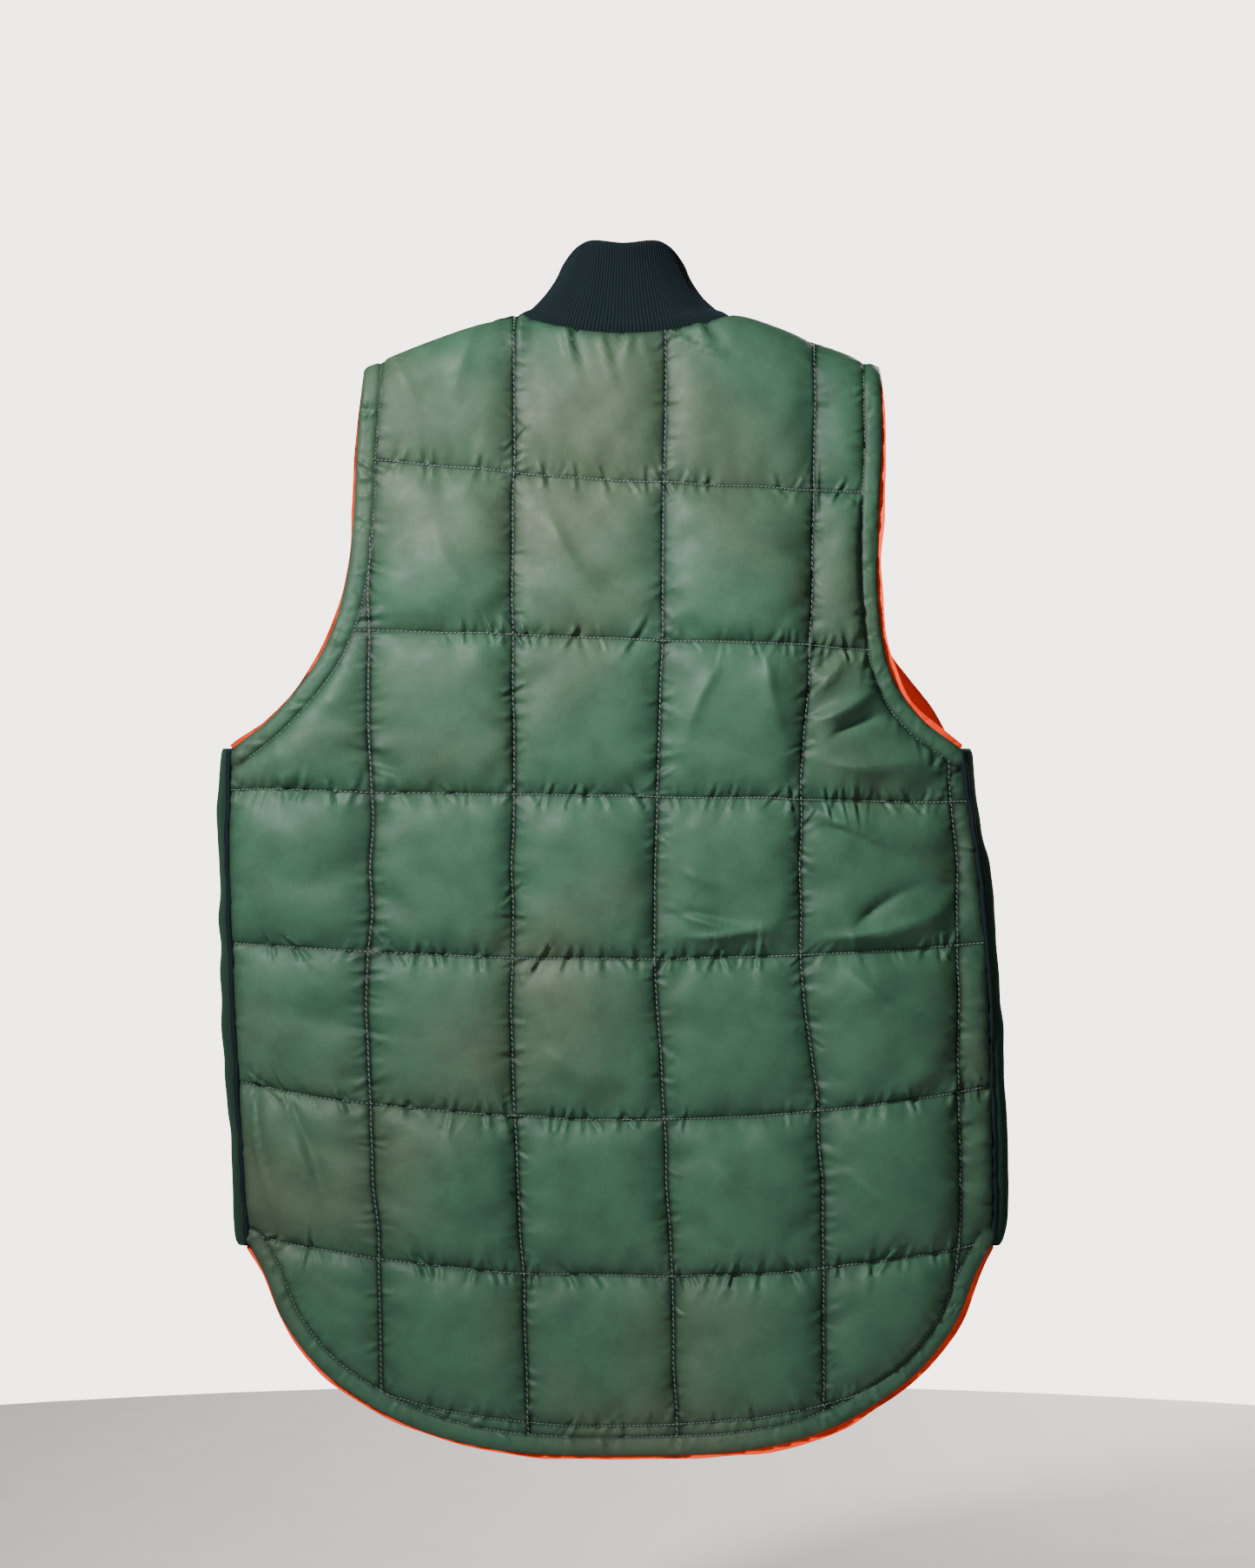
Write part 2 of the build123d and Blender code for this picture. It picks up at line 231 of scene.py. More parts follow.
def smooth_path(points, spacing):
    """Evenly spaced points along a smooth curve through the given ones."""
    points = np.array(points, float)
    chord = np.r_[0.0, np.cumsum(np.linalg.norm(np.diff(points, axis=0), axis=1))]
    tangent = np.gradient(points, chord, axis=0)
    count = max(2, int(round(chord[-1] / spacing)))
    at = np.linspace(0.0, chord[-1], count + 1)
    k = np.clip(np.searchsorted(chord, at, side="right") - 1, 0, len(points) - 2)
    span = (chord[k + 1] - chord[k])[:, None]
    return cubic((at - chord[k])[:, None] / span, span, points, tangent, k)


def hung(points):
    """Outline points given as (x, height), turned into (x, v)."""
    points = np.array(points, float)
    return np.stack([points[:, 0], flat_v(points[:, 0], points[:, 1])], -1)


def armhole_path(spacing, shallow=0.0):
    """Left armhole edge from the shoulder seam to the underarm, cut less deep by shallow."""
    points = hung([
        (SHOULDER_END_X, -0.052), (0.1745, -0.086), (0.174, -0.125), (0.175, -0.165),
        (0.180, -0.200 + 0.3 * shallow), (0.188, -0.225 + 0.7 * shallow), (0.213, -0.262 + shallow),
        (SIDE_X, RIB_TOP_Z),
    ])
    start = (SHOULDER_END_X, float(seam_v(SHOULDER_END_X)))
    return smooth_path(np.vstack([start, points]), spacing)


def shoulder_path(spacing):
    """Left shoulder seam from the neck to the armhole."""
    x = np.linspace(NECK_SEAM_X, SHOULDER_END_X, 12)
    return smooth_path(np.stack([x, seam_v(x)], -1), spacing)


def mirrored(path):
    """The same path on the wearer's right, walked the other way."""
    return (path * (-1.0, 1.0))[::-1]


def back_outline(spacing):
    """Edges of the back, clockwise from its right neck point."""
    x = np.linspace(-NECK_SEAM_X, NECK_SEAM_X, 40)
    neck_z = BACK_NECK_Z + BACK_NECK_ARC - np.sqrt(BACK_NECK_ARC**2 - x**2)
    half_tail = [
        (SIDE_X, RIB_BOTTOM_Z), (0.230, -0.629), (0.220, -0.659),
        (0.196, -0.692), (0.160, -0.718), (0.0, TAIL_Z),
    ]
    tail = half_tail + [(-x, z) for x, z in reversed(half_tail[:-1])]
    armhole, shoulder = armhole_path(spacing), shoulder_path(spacing)
    side = smooth_path([(SIDE_X, RIB_TOP_Z), (SIDE_X, RIB_BOTTOM_Z)], spacing)
    return [
        ("neck", smooth_path(np.stack([x, flat_v(x, neck_z)], -1), spacing)),
        ("shoulder", shoulder),
        ("band", armhole),
        ("side", side),
        ("band", smooth_path(tail, spacing)),
        ("side", mirrored(side)),
        ("band", mirrored(armhole)),
        ("shoulder", mirrored(shoulder)),
    ]


def front_outline(spacing, hand):
    """Edges of one front, clockwise from its neck point or shoulder."""
    neckline = [(0.066, -0.030), (0.045, -0.061), (FRONT_EDGE_X, ZIPPER_TOP_Z)]
    neck = np.vstack([(NECK_SEAM_X, float(seam_v(NECK_SEAM_X))), hung(neckline)])
    hem = [
        (SIDE_X, RIB_BOTTOM_Z), (0.230, -0.628), (0.200, -0.652),
        (0.120, -0.669), (FRONT_EDGE_X, FRONT_HEM_Z),
    ]
    edges = [
        ("shoulder", shoulder_path(spacing)),
        ("band", armhole_path(spacing, ARMHOLE_SHALLOWER[hand])),
        ("side", smooth_path([(SIDE_X, RIB_TOP_Z), (SIDE_X, RIB_BOTTOM_Z)], spacing)),
        ("band", smooth_path(hem, spacing)),
        ("zip", smooth_path([(FRONT_EDGE_X, FRONT_HEM_Z), (FRONT_EDGE_X, ZIPPER_TOP_Z)], spacing)),
        ("neck", smooth_path(neck, spacing)[::-1]),
    ]
    if hand > 0:
        return edges
    return [(kind, mirrored(path)) for kind, path in reversed(edges)]


def inside(points, loop):
    """Which points lie in a closed loop."""
    x, y = points[:, 0], points[:, 1]
    hit = np.zeros(len(points), bool)
    for a, b in zip(loop, np.roll(loop, -1, axis=0)):
        if a[1] == b[1]:
            continue
        crosses = (a[1] > y) != (b[1] > y)
        hit ^= crosses & (x < (b[0] - a[0]) * (y - a[1]) / (b[1] - a[1]) + a[0])
    return hit


class Scatter:
    """Points kept at least a given distance apart, found through a grid of buckets."""

    def __init__(self, cell):
        self.cell = cell
        self.points = []
        self.buckets = {}

    def add(self, point, gap):
        column, row = int(math.floor(point[0] / self.cell)), int(math.floor(point[1] / self.cell))
        for i in (column - 1, column, column + 1):
            for j in (row - 1, row, row + 1):
                for other in self.buckets.get((i, j), ()):
                    if (other[0] - point[0]) ** 2 + (other[1] - point[1]) ** 2 < gap * gap:
                        return
        self.buckets.setdefault((column, row), []).append(point)
        self.points.append(point)


def flat_tree(points):
    """Search tree over flat points."""
    tree = kdtree.KDTree(len(points))
    for n, point in enumerate(points):
        tree.insert((point[0], point[1], 0.0), n)
    tree.balance()
    return tree


def nearest_in(tree, points):
    """Index in a tree of the nearest point to each given one."""
    return np.array([tree.find((x, v, 0.0))[1] for x, v in points])


def flat_mesh(outline, lines, spacing, beside):
    """Triangles that fill an outline, with rows of points on and beside its stitch lines."""
    loop = np.vstack([path[:-1] for _, path in outline])
    scatter = Scatter(spacing)
    for point in loop:
        scatter.add(tuple(point), 0.0)
    for path in lines:
        along = np.gradient(path, axis=0)
        across = np.stack([-along[:, 1], along[:, 0]], -1) / np.linalg.norm(along, axis=1)[:, None]
        for offset in sorted({side * gap for gap in beside for side in (-1, 1)}, key=abs):
            row = path + across * offset
            for point in row[inside(row, loop)]:
                scatter.add(tuple(point), 0.0009)
    low, high = loop.min(0), loop.max(0)
    rows = int((high[1] - low[1]) / (spacing * 0.866))
    fill = []
    for row in range(rows):
        x = np.arange(low[0] + (row % 2) * spacing / 2, high[0], spacing)
        fill.append(np.stack([x, np.full_like(x, low[1] + row * spacing * 0.866)], -1))
    fill = np.vstack(fill)
    fill = fill + rng.normal(0.0, spacing * 0.06, fill.shape)
    for point in fill[inside(fill, loop)]:
        scatter.add(tuple(point), spacing * 0.62)
    edges = [(i, (i + 1) % len(loop)) for i in range(len(loop))]
    coords = [Vector(p) for p in scatter.points]
    points, _, faces, *_ = geometry.delaunay_2d_cdt(coords, edges, [], 1, 1e-7)
    return np.array([tuple(p) for p in points]), np.array(faces, int)


# ---------------------------------------------------------------- quilting

def plain_cells():
    """Smooth pillow heights over a block of quilted cells."""
    across, down = CELL_STEPS
    x = np.arange(CELL_BLOCK * across + 1)
    y = np.arange(CELL_BLOCK * down + 1)
    s, t = np.meshgrid((x % across) / across, (y % down) / down)
    beside_column = np.minimum(s, 1 - s) * CELL_SIZE[0]
    beside_row = np.minimum(t, 1 - t) * CELL_SIZE[1]
    return 0.006 * (1 - np.exp(-beside_column / 0.012)) * (1 - np.exp(-beside_row / 0.009))


def simulated_cells():
    """Heights of cloth blown up between pinned stitch lines, with more cloth than there is room for."""
    height = plain_cells()
    rows, columns = height.shape
    x = np.arange(columns) * CELL_SIZE[0] / CELL_STEPS[0]
    y = np.arange(rows) * CELL_SIZE[1] / CELL_STEPS[1]
    pinned = height == 0.0
    uneven = np.where(pinned, 0.0, rng.normal(0.0, 0.0002, height.shape))
    grid_x, grid_y = np.meshgrid(x, y)
    verts = np.stack([grid_x, grid_y, height + uneven], -1).reshape(-1, 3)
    index = np.arange(rows * columns).reshape(rows, columns)
    faces = np.stack([index[:-1, :-1], index[:-1, 1:], index[1:, 1:], index[1:, :-1]], -1).reshape(-1, 4)
    mesh = bpy.data.meshes.new("quilting_sample")
    mesh.from_pydata(verts.tolist(), [], faces.tolist())
    sample = bpy.data.objects.new("quilting_sample", mesh)
    bpy.context.scene.collection.objects.link(sample)
    pins = sample.vertex_groups.new(name="stitches")
    pins.add([int(i) for i in np.flatnonzero(pinned)], 1.0, "REPLACE")
    cloth = sample.modifiers.new("Cloth", "CLOTH")
    cloth.settings.quality = 5
    cloth.settings.mass = 0.05
    cloth.settings.tension_stiffness = 20
    cloth.settings.compression_stiffness = 20
    cloth.settings.shear_stiffness = 10
    cloth.settings.bending_stiffness = 9
    cloth.settings.use_pressure = True
    cloth.settings.uniform_pressure_force = 2.0
    cloth.settings.shrink_min = -0.04
    cloth.settings.vertex_group_mass = "stitches"
    cloth.settings.effector_weights.gravity = 0
    cloth.point_cache.frame_start = 1
    cloth.point_cache.frame_end = CLOTH_FRAMES
    for number in range(1, CLOTH_FRAMES + 1):
        bpy.context.scene.frame_set(number)
    shaped = sample.evaluated_get(bpy.context.evaluated_depsgraph_get()).to_mesh()
    places = np.empty(len(shaped.vertices) * 3, np.float32)
    shaped.vertices.foreach_get("co", places)
    result = places.reshape(rows, columns, 3)[..., 2].astype(float)
    bpy.data.objects.remove(sample)
    bpy.context.scene.frame_set(1)
    return result


def softened(height, passes):
    """Heights with the finest ripples taken out, and the stitch lines left where they are."""
    pinned = plain_cells() == 0.0
    for _ in range(passes):
        padded = np.pad(height, 1, mode="edge")
        across = (padded[1:-1, :-2] + 2 * height + padded[1:-1, 2:]) / 4
        padded = np.pad(across, 1, mode="edge")
        smooth = (padded[:-2, 1:-1] + 2 * across + padded[2:, 1:-1]) / 4
        height = np.where(pinned, 0.0, smooth)
    return height


def cut_cells(height):
    """The block of heights as a stack of single cells, each scaled to 1 high."""
    across, down = CELL_STEPS
    cells = []
    for row in range(CELL_BLOCK):
        for column in range(CELL_BLOCK):
            top, left = row * down, column * across
            cells.append(height[top:top + down + 1, left:left + across + 1])
    cells = np.maximum(np.array(cells), 0.0)
    return np.tanh(cells / 0.0080)


PILLOWS = cut_cells(softened(simulated_cells(), 3))


def uneven(arc, wavelength, seed):
    """Smooth random values between -1 and 1 along a line."""
    knots = np.random.default_rng(seed).uniform(-1.0, 1.0, 4096)
    at = np.asarray(arc) / wavelength + 2000.0
    k = np.floor(at).astype(int)
    t = at - k
    t = t * t * (3 - 2 * t)
    return knots[k % 4096] * (1 - t) + knots[(k + 1) % 4096] * t


def held(distance, reach):
    """0 on a seam, rising to 1 away from it."""
    return 1.0 - np.exp(-np.maximum(distance, 0.0) / reach)


def puckers(arc, wavelength, seed):
    """Narrow ridges and nips at uneven places along a seam."""
    rough = uneven(arc, wavelength, seed) * 0.7 + uneven(arc, wavelength * 0.45, seed + 1) * 0.5
    return rough * (0.35 + 0.65 * np.abs(uneven(arc, wavelength * 4, seed + 2)))


def nips(arc, distance, slot, width, reach, row, seed):
    """Short sharp creases across a seam at uneven places, each a ridge with a nip beside it.

    distance is from the seam and has a sign.
    """
    draws = np.random.default_rng(seed)
    place = draws.uniform(0.1, 0.9, 4096)
    size = draws.uniform(0.0, 1.0, 4096) ** 1.5
    way = draws.choice([-1.0, 1.0], 4096)
    slant = draws.normal(0.0, 0.40, 4096)
    longer = draws.uniform(0.5, 1.7, 4096)
    wider = draws.uniform(0.7, 1.5, 4096)
    total = np.zeros(len(arc))
    here = np.floor(arc / slot).astype(int)
    for k in (here - 1, here, here + 1):
        n = (k + 613 * row) % 4096
        off = (arc - (k + place[n]) * slot - slant[n] * distance) / (width * wider[n]) * way[n]
        ridge = np.exp(-off**2) - 0.8 * np.exp(-((off - 1.7) ** 2))
        total = total + size[n] * ridge * np.exp(-(distance / (reach * longer[n])) ** 2)
    return total * held(np.abs(distance), 0.0008)


def soft_folds(x, v, seed):
    """Slack in the cloth: long soft folds in three directions."""
    total = 0.0
    for number, angle in enumerate((0.9, -0.5, 2.2)):
        across = x * math.cos(angle) + v * math.sin(angle)
        along = v * math.cos(angle) - x * math.sin(angle)
        fold = uneven(across, 0.017, seed + number) * (0.5 + 0.5 * uneven(along, 0.070, seed + 10 + number))
        total = total + fold
    return total / 2


class Quilt:
    """Stitch lines of one quilted panel: uneven columns and sagging rows, and the pillows between them."""

    def __init__(self, columns, rows, creases, seed):
        self.columns = columns
        self.rows = rows
        self.creases = creases
        self.seed = seed
        draws = np.random.default_rng(seed)
        shape = (len(rows), len(columns))
        self.kind = draws.integers(0, len(PILLOWS), shape)
        self.flip = draws.integers(0, 2, shape + (2,)).astype(bool)
        self.size = draws.uniform(0.88, 1.12, shape)

    def column_x(self, k, v):
        return smooth_at(v, self.columns[k]) + 0.0009 * uneven(v, 0.03, self.seed + 31 * k)

    def row_v(self, m, x):
        v, tilt, sag = self.rows[m]
        return v + tilt * x + sag * (x / SIDE_X) ** 2 + 0.0007 * uneven(x, 0.03, self.seed + 57 * m)

    def puff(self, x, v):
        """Height of the padding, and the painted shade of each place by how far it is in a groove.

        The height is 0 on a stitch line and about 1 in the middle of a cell.
        """
        lines_x = np.array([self.column_x(k, v) for k in range(len(self.columns))])
        lines_v = np.array([self.row_v(m, x) for m in range(len(self.rows))])
        i = np.clip((lines_x < x).sum(0) - 1, 0, len(self.columns) - 2)
        j = np.clip((lines_v > v).sum(0) - 1, 0, len(self.rows) - 2)
        n = np.arange(x.size)
        left, right = lines_x[i, n], lines_x[i + 1, n]
        top, low = lines_v[j, n], lines_v[j + 1, n]
        s = np.clip((x - left) / (right - left), 0, 1)
        t = np.clip((top - v) / (top - low), 0, 1)
        beside_column = np.minimum(x - left, right - x)
        beside_row = np.minimum(top - v, v - low)
        flip = self.flip[j, i]
        s = np.where(flip[:, 0], 1 - s, s)
        t = np.where(flip[:, 1], 1 - t, t)
        across, down = CELL_STEPS
        at_x, at_y = s * across, t * down
        c, r = np.minimum(at_x.astype(int), across - 1), np.minimum(at_y.astype(int), down - 1)
        u, w = at_x - c, at_y - r
        kind = self.kind[j, i]
        upper = PILLOWS[kind, r, c] * (1 - u) + PILLOWS[kind, r, c + 1] * u
        lower = PILLOWS[kind, r + 1, c] * (1 - u) + PILLOWS[kind, r + 1, c + 1] * u
        height = (upper * (1 - w) + lower * w) * self.size[j, i]
        to_row = np.where(top - v < v - low, v - top, v - low)
        row = np.where(top - v < v - low, j, j + 1)
        to_column = np.where(x - left < right - x, x - left, x - right)
        column = np.where(x - left < right - x, i, i + 1)
        creased = 0.30 * nips(x, to_row, 0.0085, 0.0017, 0.0085, row, self.seed + 5)
        creased = creased + 0.16 * nips(v, to_column, 0.0070, 0.0018, 0.0070, column, self.seed + 6)
        creased = creased + 0.17 * soft_folds(x, v, self.seed + 7) * height
        # Painted shade: darkening along the stitch lines and down the pillow slopes beside them, where shade
        # falls.
        groove_shade = 0.85 * np.exp(-((beside_column / 0.0018) ** 2)) + 0.50 * np.exp(-beside_column / 0.008)
        groove_shade = groove_shade + 0.70 * np.exp(-((beside_row / 0.0010) ** 2)) + 0.25 * np.exp(-beside_row / 0.004)
        return height + creased, groove_shade

    def lines(self, loop, spacing):
        """Every stitch line inside a loop, with whether it is a column."""
        found = []
        low, high = loop.min(0), loop.max(0)
        v = np.arange(low[1], high[1], spacing)
        for k in range(len(self.columns)):
            path = np.stack([self.column_x(k, v), v], -1)
            found += [(True, part) for part in runs_inside(path, loop)]
        x = np.arange(low[0], high[0], spacing)
        for m in range(len(self.rows)):
            path = np.stack([x, self.row_v(m, x)], -1)
            found += [(False, part) for part in runs_inside(path, loop)]
        return found


def runs_inside(path, loop):
    """The stretches of a path that lie in a loop."""
    within = inside(path, loop)
    parts, start = [], None
    for n, flag in enumerate(within):
        if flag and start is None:
            start = n
        if start is not None and (not flag or n == len(within) - 1):
            if n - start > 3:
                parts.append(path[start:n])
            start = None
    return parts


# ---------------------------------------------------------------- cloth lift

class Edges:
    """Distances from points of a panel to its edges, by kind of edge."""

    def __init__(self, outline):
        self.kinds = {}
        for kind in {kind for kind, _ in outline}:
            paths = [path for name, path in outline if name == kind]
            starts = np.vstack([path[:-1] for path in paths])
            steps = np.vstack([np.diff(path, axis=0) for path in paths])
            length = np.linalg.norm(steps, axis=1)
            jumps = np.concatenate([np.r_[1.0, np.zeros(len(path) - 2)] for path in paths])
            arcs = np.cumsum(length + jumps) - length
            self.kinds[kind] = (flat_tree(starts + steps / 2), starts, steps, length, arcs)

    def nearest(self, points, kind):
        """Distance to the nearest edge of a kind, how far along it, and the way out of the panel there."""
        if kind not in self.kinds:
            return np.full(len(points), 1.0), np.zeros(len(points)), np.zeros((len(points), 2))
        tree, starts, steps, length, arcs = self.kinds[kind]
        n = nearest_in(tree, points)
        reach = ((points - starts[n]) * steps[n]).sum(1) / length[n] ** 2
        foot = starts[n] + np.clip(reach, 0, 1)[:, None] * steps[n]
        way_out = np.stack([-steps[n, 1], steps[n, 0]], -1) / length[n][:, None]
        return np.linalg.norm(points - foot, axis=1), arcs[n] + reach * length[n], way_out


def hanging_folds(x, v, face):
    """Slow unevenness of the whole hanging panel, which moves its shell and lining together."""
    slow = 0.0024 * np.sin(x * 21.0 + 1.3 + v * 4.0) * np.sin(v * 9.0 + 0.6)
    slow = slow + 0.0018 * np.sin(x * 38.0 - v * 13.0 + 2.0 * face)
    slow = slow * ease((shoulder_height(x) - v) / 0.15) * (1.0 - np.minimum(np.abs(x) / SIDE_X, 1.0) ** 6)
    if face == FRONT:
        slow = slow * ease((np.abs(x) - 0.030) / 0.050)
    return slow


def crease(x, v, start, end, height, width):
    """A raised fold along a gently bowed line between two places, fading towards its ends."""
    start, end = np.array(start), np.array(end)
    along = end - start
    length = np.linalg.norm(along)
    along = along / length
    far = (x - start[0]) * along[0] + (v - start[1]) * along[1]
    off = (x - start[0]) * -along[1] + (v - start[1]) * along[0]
    share = np.clip(far / length, 0, 1)
    off = off - CREASE_BOW * length * np.sin(math.pi * share) * (1 if height > 0 else -1)
    width = width * (0.7 + 0.9 * share)
    fade = ease(share / 0.30) * ease((1 - share) / 0.65)
    return height * fade * np.exp(1.0 - np.sqrt(1.0 + 3.0 * (off / width) ** 2))


# Folds pressed into the shell: start (x, v), end (x, v), height, width
BACK_CREASES = [
    ((0.2243, -0.4847), (0.1917, -0.6383), 0.0073, 0.0050),
    ((0.2121, -0.4925), (0.1809, -0.6625), -0.0056, 0.0065),
    ((0.2007, -0.5174), (0.1653, -0.6126), 0.0034, 0.0060),
    ((-0.1121, -0.2574), (-0.1719, -0.1866), 0.0051, 0.0050),
    ((-0.1154, -0.2667), (-0.1956, -0.2313), 0.0055, 0.0050),
    ((-0.1253, -0.2349), (-0.1607, -0.2131), -0.0043, 0.0040),
    ((-0.1342, -0.2773), (-0.2158, -0.2597), -0.0048, 0.0045),
    ((-0.1283, -0.2907), (-0.2317, -0.2853), 0.0048, 0.0060),
    ((-0.1083, -0.3130), (-0.2347, -0.3510), 0.0055, 0.0060),
    ((-0.1201, -0.3309), (-0.1949, -0.3621), -0.0044, 0.0050),
    ((-0.1204, -0.4076), (-0.2306, -0.3804), 0.0048, 0.0050),
    ((-0.1460, -0.4027), (-0.2140, -0.3673), -0.0043, 0.0045),
    ((-0.0123, -0.3799), (-0.1307, -0.4031), 0.0046, 0.0045),
    ((-0.0192, -0.3891), (-0.1008, -0.4109), -0.0042, 0.0045),
    ((-0.0342, -0.4062), (-0.1158, -0.3898), 0.0032, 0.0040),
    ((-0.0337, -0.3602), (-0.0813, -0.3738), 0.0025, 0.0060),
    ((0.0517, -0.1216), (0.0013, -0.2004), 0.0032, 0.0080),
    ((0.0213, -0.1646), (-0.0263, -0.2054), -0.0025, 0.0080),
    ((-0.0636, -0.2251), (-0.0364, -0.2999), 0.0032, 0.0060),
    ((-0.0919, -0.2142), (-0.1151, -0.2958), 0.0029, 0.0060),
    ((0.1419, -0.2990), (0.2031, -0.2310), 0.0031, 0.0070),
    ((0.1837, -0.2946), (0.2313, -0.3354), 0.0029, 0.0070),
    ((-0.1401, -0.4228), (-0.2149, -0.4772), 0.0044, 0.0070),
    ((-0.1351, -0.5546), (-0.2099, -0.5954), 0.0040, 0.0080),
    ((-0.0519, -0.5496), (-0.1131, -0.5904), 0.0031, 0.0080),
    ((0.0581, -0.4764), (-0.0031, -0.5036), 0.0025, 0.0080),
    ((0.1145, -0.5174), (0.0805, -0.6126), 0.0023, 0.0090),
    ((0.1254, -0.1301), (0.0846, -0.2049), 0.0025, 0.0100),
    ((0.1604, -0.0110), (0.1196, -0.0790), 0.0029, 0.0070),
    ((0.0935, -0.0069), (0.1125, -0.0681), 0.0025, 0.0070),
]
FRONT_CREASES = [
    ((0.150, -0.300), (0.200, -0.255), 0.0024, 0.008),
    ((0.050, -0.190), (0.110, -0.160), 0.0018, 0.010),
    ((0.165, -0.420), (0.215, -0.450), 0.0022, 0.008),
    ((0.060, -0.350), (0.120, -0.372), 0.0018, 0.009),
]


def band_lift(distance, arc, seed):
    """Height across a topstitched edge: round at the edge, full between, nipped at the stitches."""
    round_edge = np.sqrt(np.clip(1 - (1 - np.clip(distance / 0.0045, 0, 1)) ** 2, 0, 1))
    full = BAND_HEIGHT * round_edge * (1 - 0.75 * np.exp(-np.abs(BAND_WIDTH - distance) / 0.0016))
    zero = np.zeros(len(arc), int)
    gathered = 0.0022 * nips(arc, distance - BAND_WIDTH / 2, 0.0100, 0.0018, 0.007, zero, seed)
    return full + gathered * np.sin(np.clip(distance / BAND_WIDTH, 0, 1) * math.pi)


def cloth_lift(points, edges, quilt, outside, pocket_seam=None):
    """How far the cloth stands out from the middle of the padding, on the shell side or the lining side, and
    its painted shade in grooves and beside seams.
    """
    x, v = points[:, 0], points[:, 1]
    neck, neck_arc, _ = edges.nearest(points, "neck")
    shoulder, _, _ = edges.nearest(points, "shoulder")
    side, side_arc, _ = edges.nearest(points, "side")
    placket, _, _ = edges.nearest(points, "zip")
    band, band_arc, _ = edges.nearest(points, "band")
    height, groove_shade = quilt.puff(x, v)
    seams = held(neck, 0.006) * (0.35 + 0.65 * held(shoulder, 0.006)) * held(side, 0.007)
    seams = seams * held(placket - PLACKET_WIDTH, 0.005) * held(band - BAND_WIDTH, 0.006)
    seed = 300 + quilt.seed if outside else 700 + quilt.seed
    if outside and pocket_seam is not None:
        seams = seams * (0.25 + 0.75 * held(pocket_seam, 0.006))
    near_shoulder = 0.45 + 0.55 * ease((shoulder_height(x) - v) / 0.080)
    lift = (PUFF_HEIGHT if outside else LINING_PUFF) * height * seams * near_shoulder
    if outside:
        folds = sum(crease(x, v, *fold) for fold in quilt.creases)
        lift = lift + folds * seams * np.clip(height * 1.5, 0, 1)
    zero = np.zeros(len(x), int)
    neck_nips = (0.0065 if outside else 0.0015) * held(shoulder, 0.012)
    lift = lift + neck_nips * nips(neck_arc, neck, 0.016, 0.0026, 0.015, zero, seed)
    lift = lift + 0.0018 * nips(side_arc, side, 0.012, 0.0022, 0.010, zero, seed + 20)
    beside_band = band - BAND_WIDTH
    lift = lift + 0.0020 * nips(band_arc, beside_band, 0.010, 0.0018, 0.009, zero, seed + 40)
    lift = np.maximum(lift, -0.0005) + STITCHED_LIFT
    lift = lift * (1 - 0.6 * np.exp(-neck / 0.0015))
    lift = np.where(band < BAND_WIDTH, band_lift(band, band_arc, seed + 60), lift)
    edge = 0.0010 + 0.0012 * np.sin(np.clip(placket / PLACKET_WIDTH, 0, 1) * math.pi)
    # Painted shade beside the armhole bands, their stitch lines, and the neck, side and shoulder seams.
    groove_shade = np.where(band < BAND_WIDTH, 0.45 * np.exp(-band / 0.003), groove_shade)
    groove_shade = groove_shade + 0.9 * np.exp(-np.abs(beside_band) / 0.0016)
    for seam, reach in ((neck, 0.003), (side, 0.004), (shoulder, 0.0015)):
        groove_shade = groove_shade + 0.6 * np.exp(-seam / reach)
    return np.where(placket < PLACKET_WIDTH, edge, lift), np.clip(groove_shade, 0, 1)


# ---------------------------------------------------------------- making pieces

def new_mesh(name, verts, faces, uv=None):
    """A mesh object from arrays, with flat cloth coordinates in metres as its UVs."""
    mesh = bpy.data.meshes.new(name)
    mesh.from_pydata(np.asarray(verts).tolist(), [], [list(map(int, f)) for f in faces])
    if uv is not None:
        layer = mesh.uv_layers.new(name="cloth")
        corner = np.empty(len(mesh.loops), np.int32)
        mesh.loops.foreach_get("vertex_index", corner)
        layer.data.foreach_set("uv", np.asarray(uv, np.float32)[corner].reshape(-1))
    mesh.polygons.foreach_set("use_smooth", [True] * len(mesh.polygons))
    mesh.update()
    piece = bpy.data.objects.new(name, mesh)
    bpy.context.scene.collection.objects.link(piece)
    return piece


def capsule_template(sides):
    """Unit stitch: rings along X from -0.5 to 0.5 with a radius of 0.5."""
    rings = [(-0.5, 0.12), (-0.36, 0.42), (0.0, 0.5), (0.36, 0.42), (0.5, 0.12)]
    verts, faces = [], []
    for x, radius in rings:
        for n in range(sides):
            angle = 2 * math.pi * n / sides
            verts.append((x, radius * math.cos(angle), radius * math.sin(angle)))
    for ring in range(len(rings) - 1):
        for n in range(sides):
            a, b = ring * sides + n, ring * sides + (n + 1) % sides
            faces.append((a, b, b + sides, a + sides))
    faces.append(tuple(range(sides))[::-1])
    faces.append(tuple((len(rings) - 1) * sides + n for n in range(sides)))
    return np.array(verts), faces


STITCH_VERTS, STITCH_FACES = capsule_template(6)


def resampled(path, pitch):
    """Points a stitch apart along a path."""
    step = np.linalg.norm(np.diff(path, axis=0), axis=1)
    arc = np.r_[0.0, np.cumsum(step)]
    at = np.arange(pitch / 2, arc[-1], pitch)
    return np.stack([np.interp(at, arc, path[:, c]) for c in range(path.shape[1])], -1)


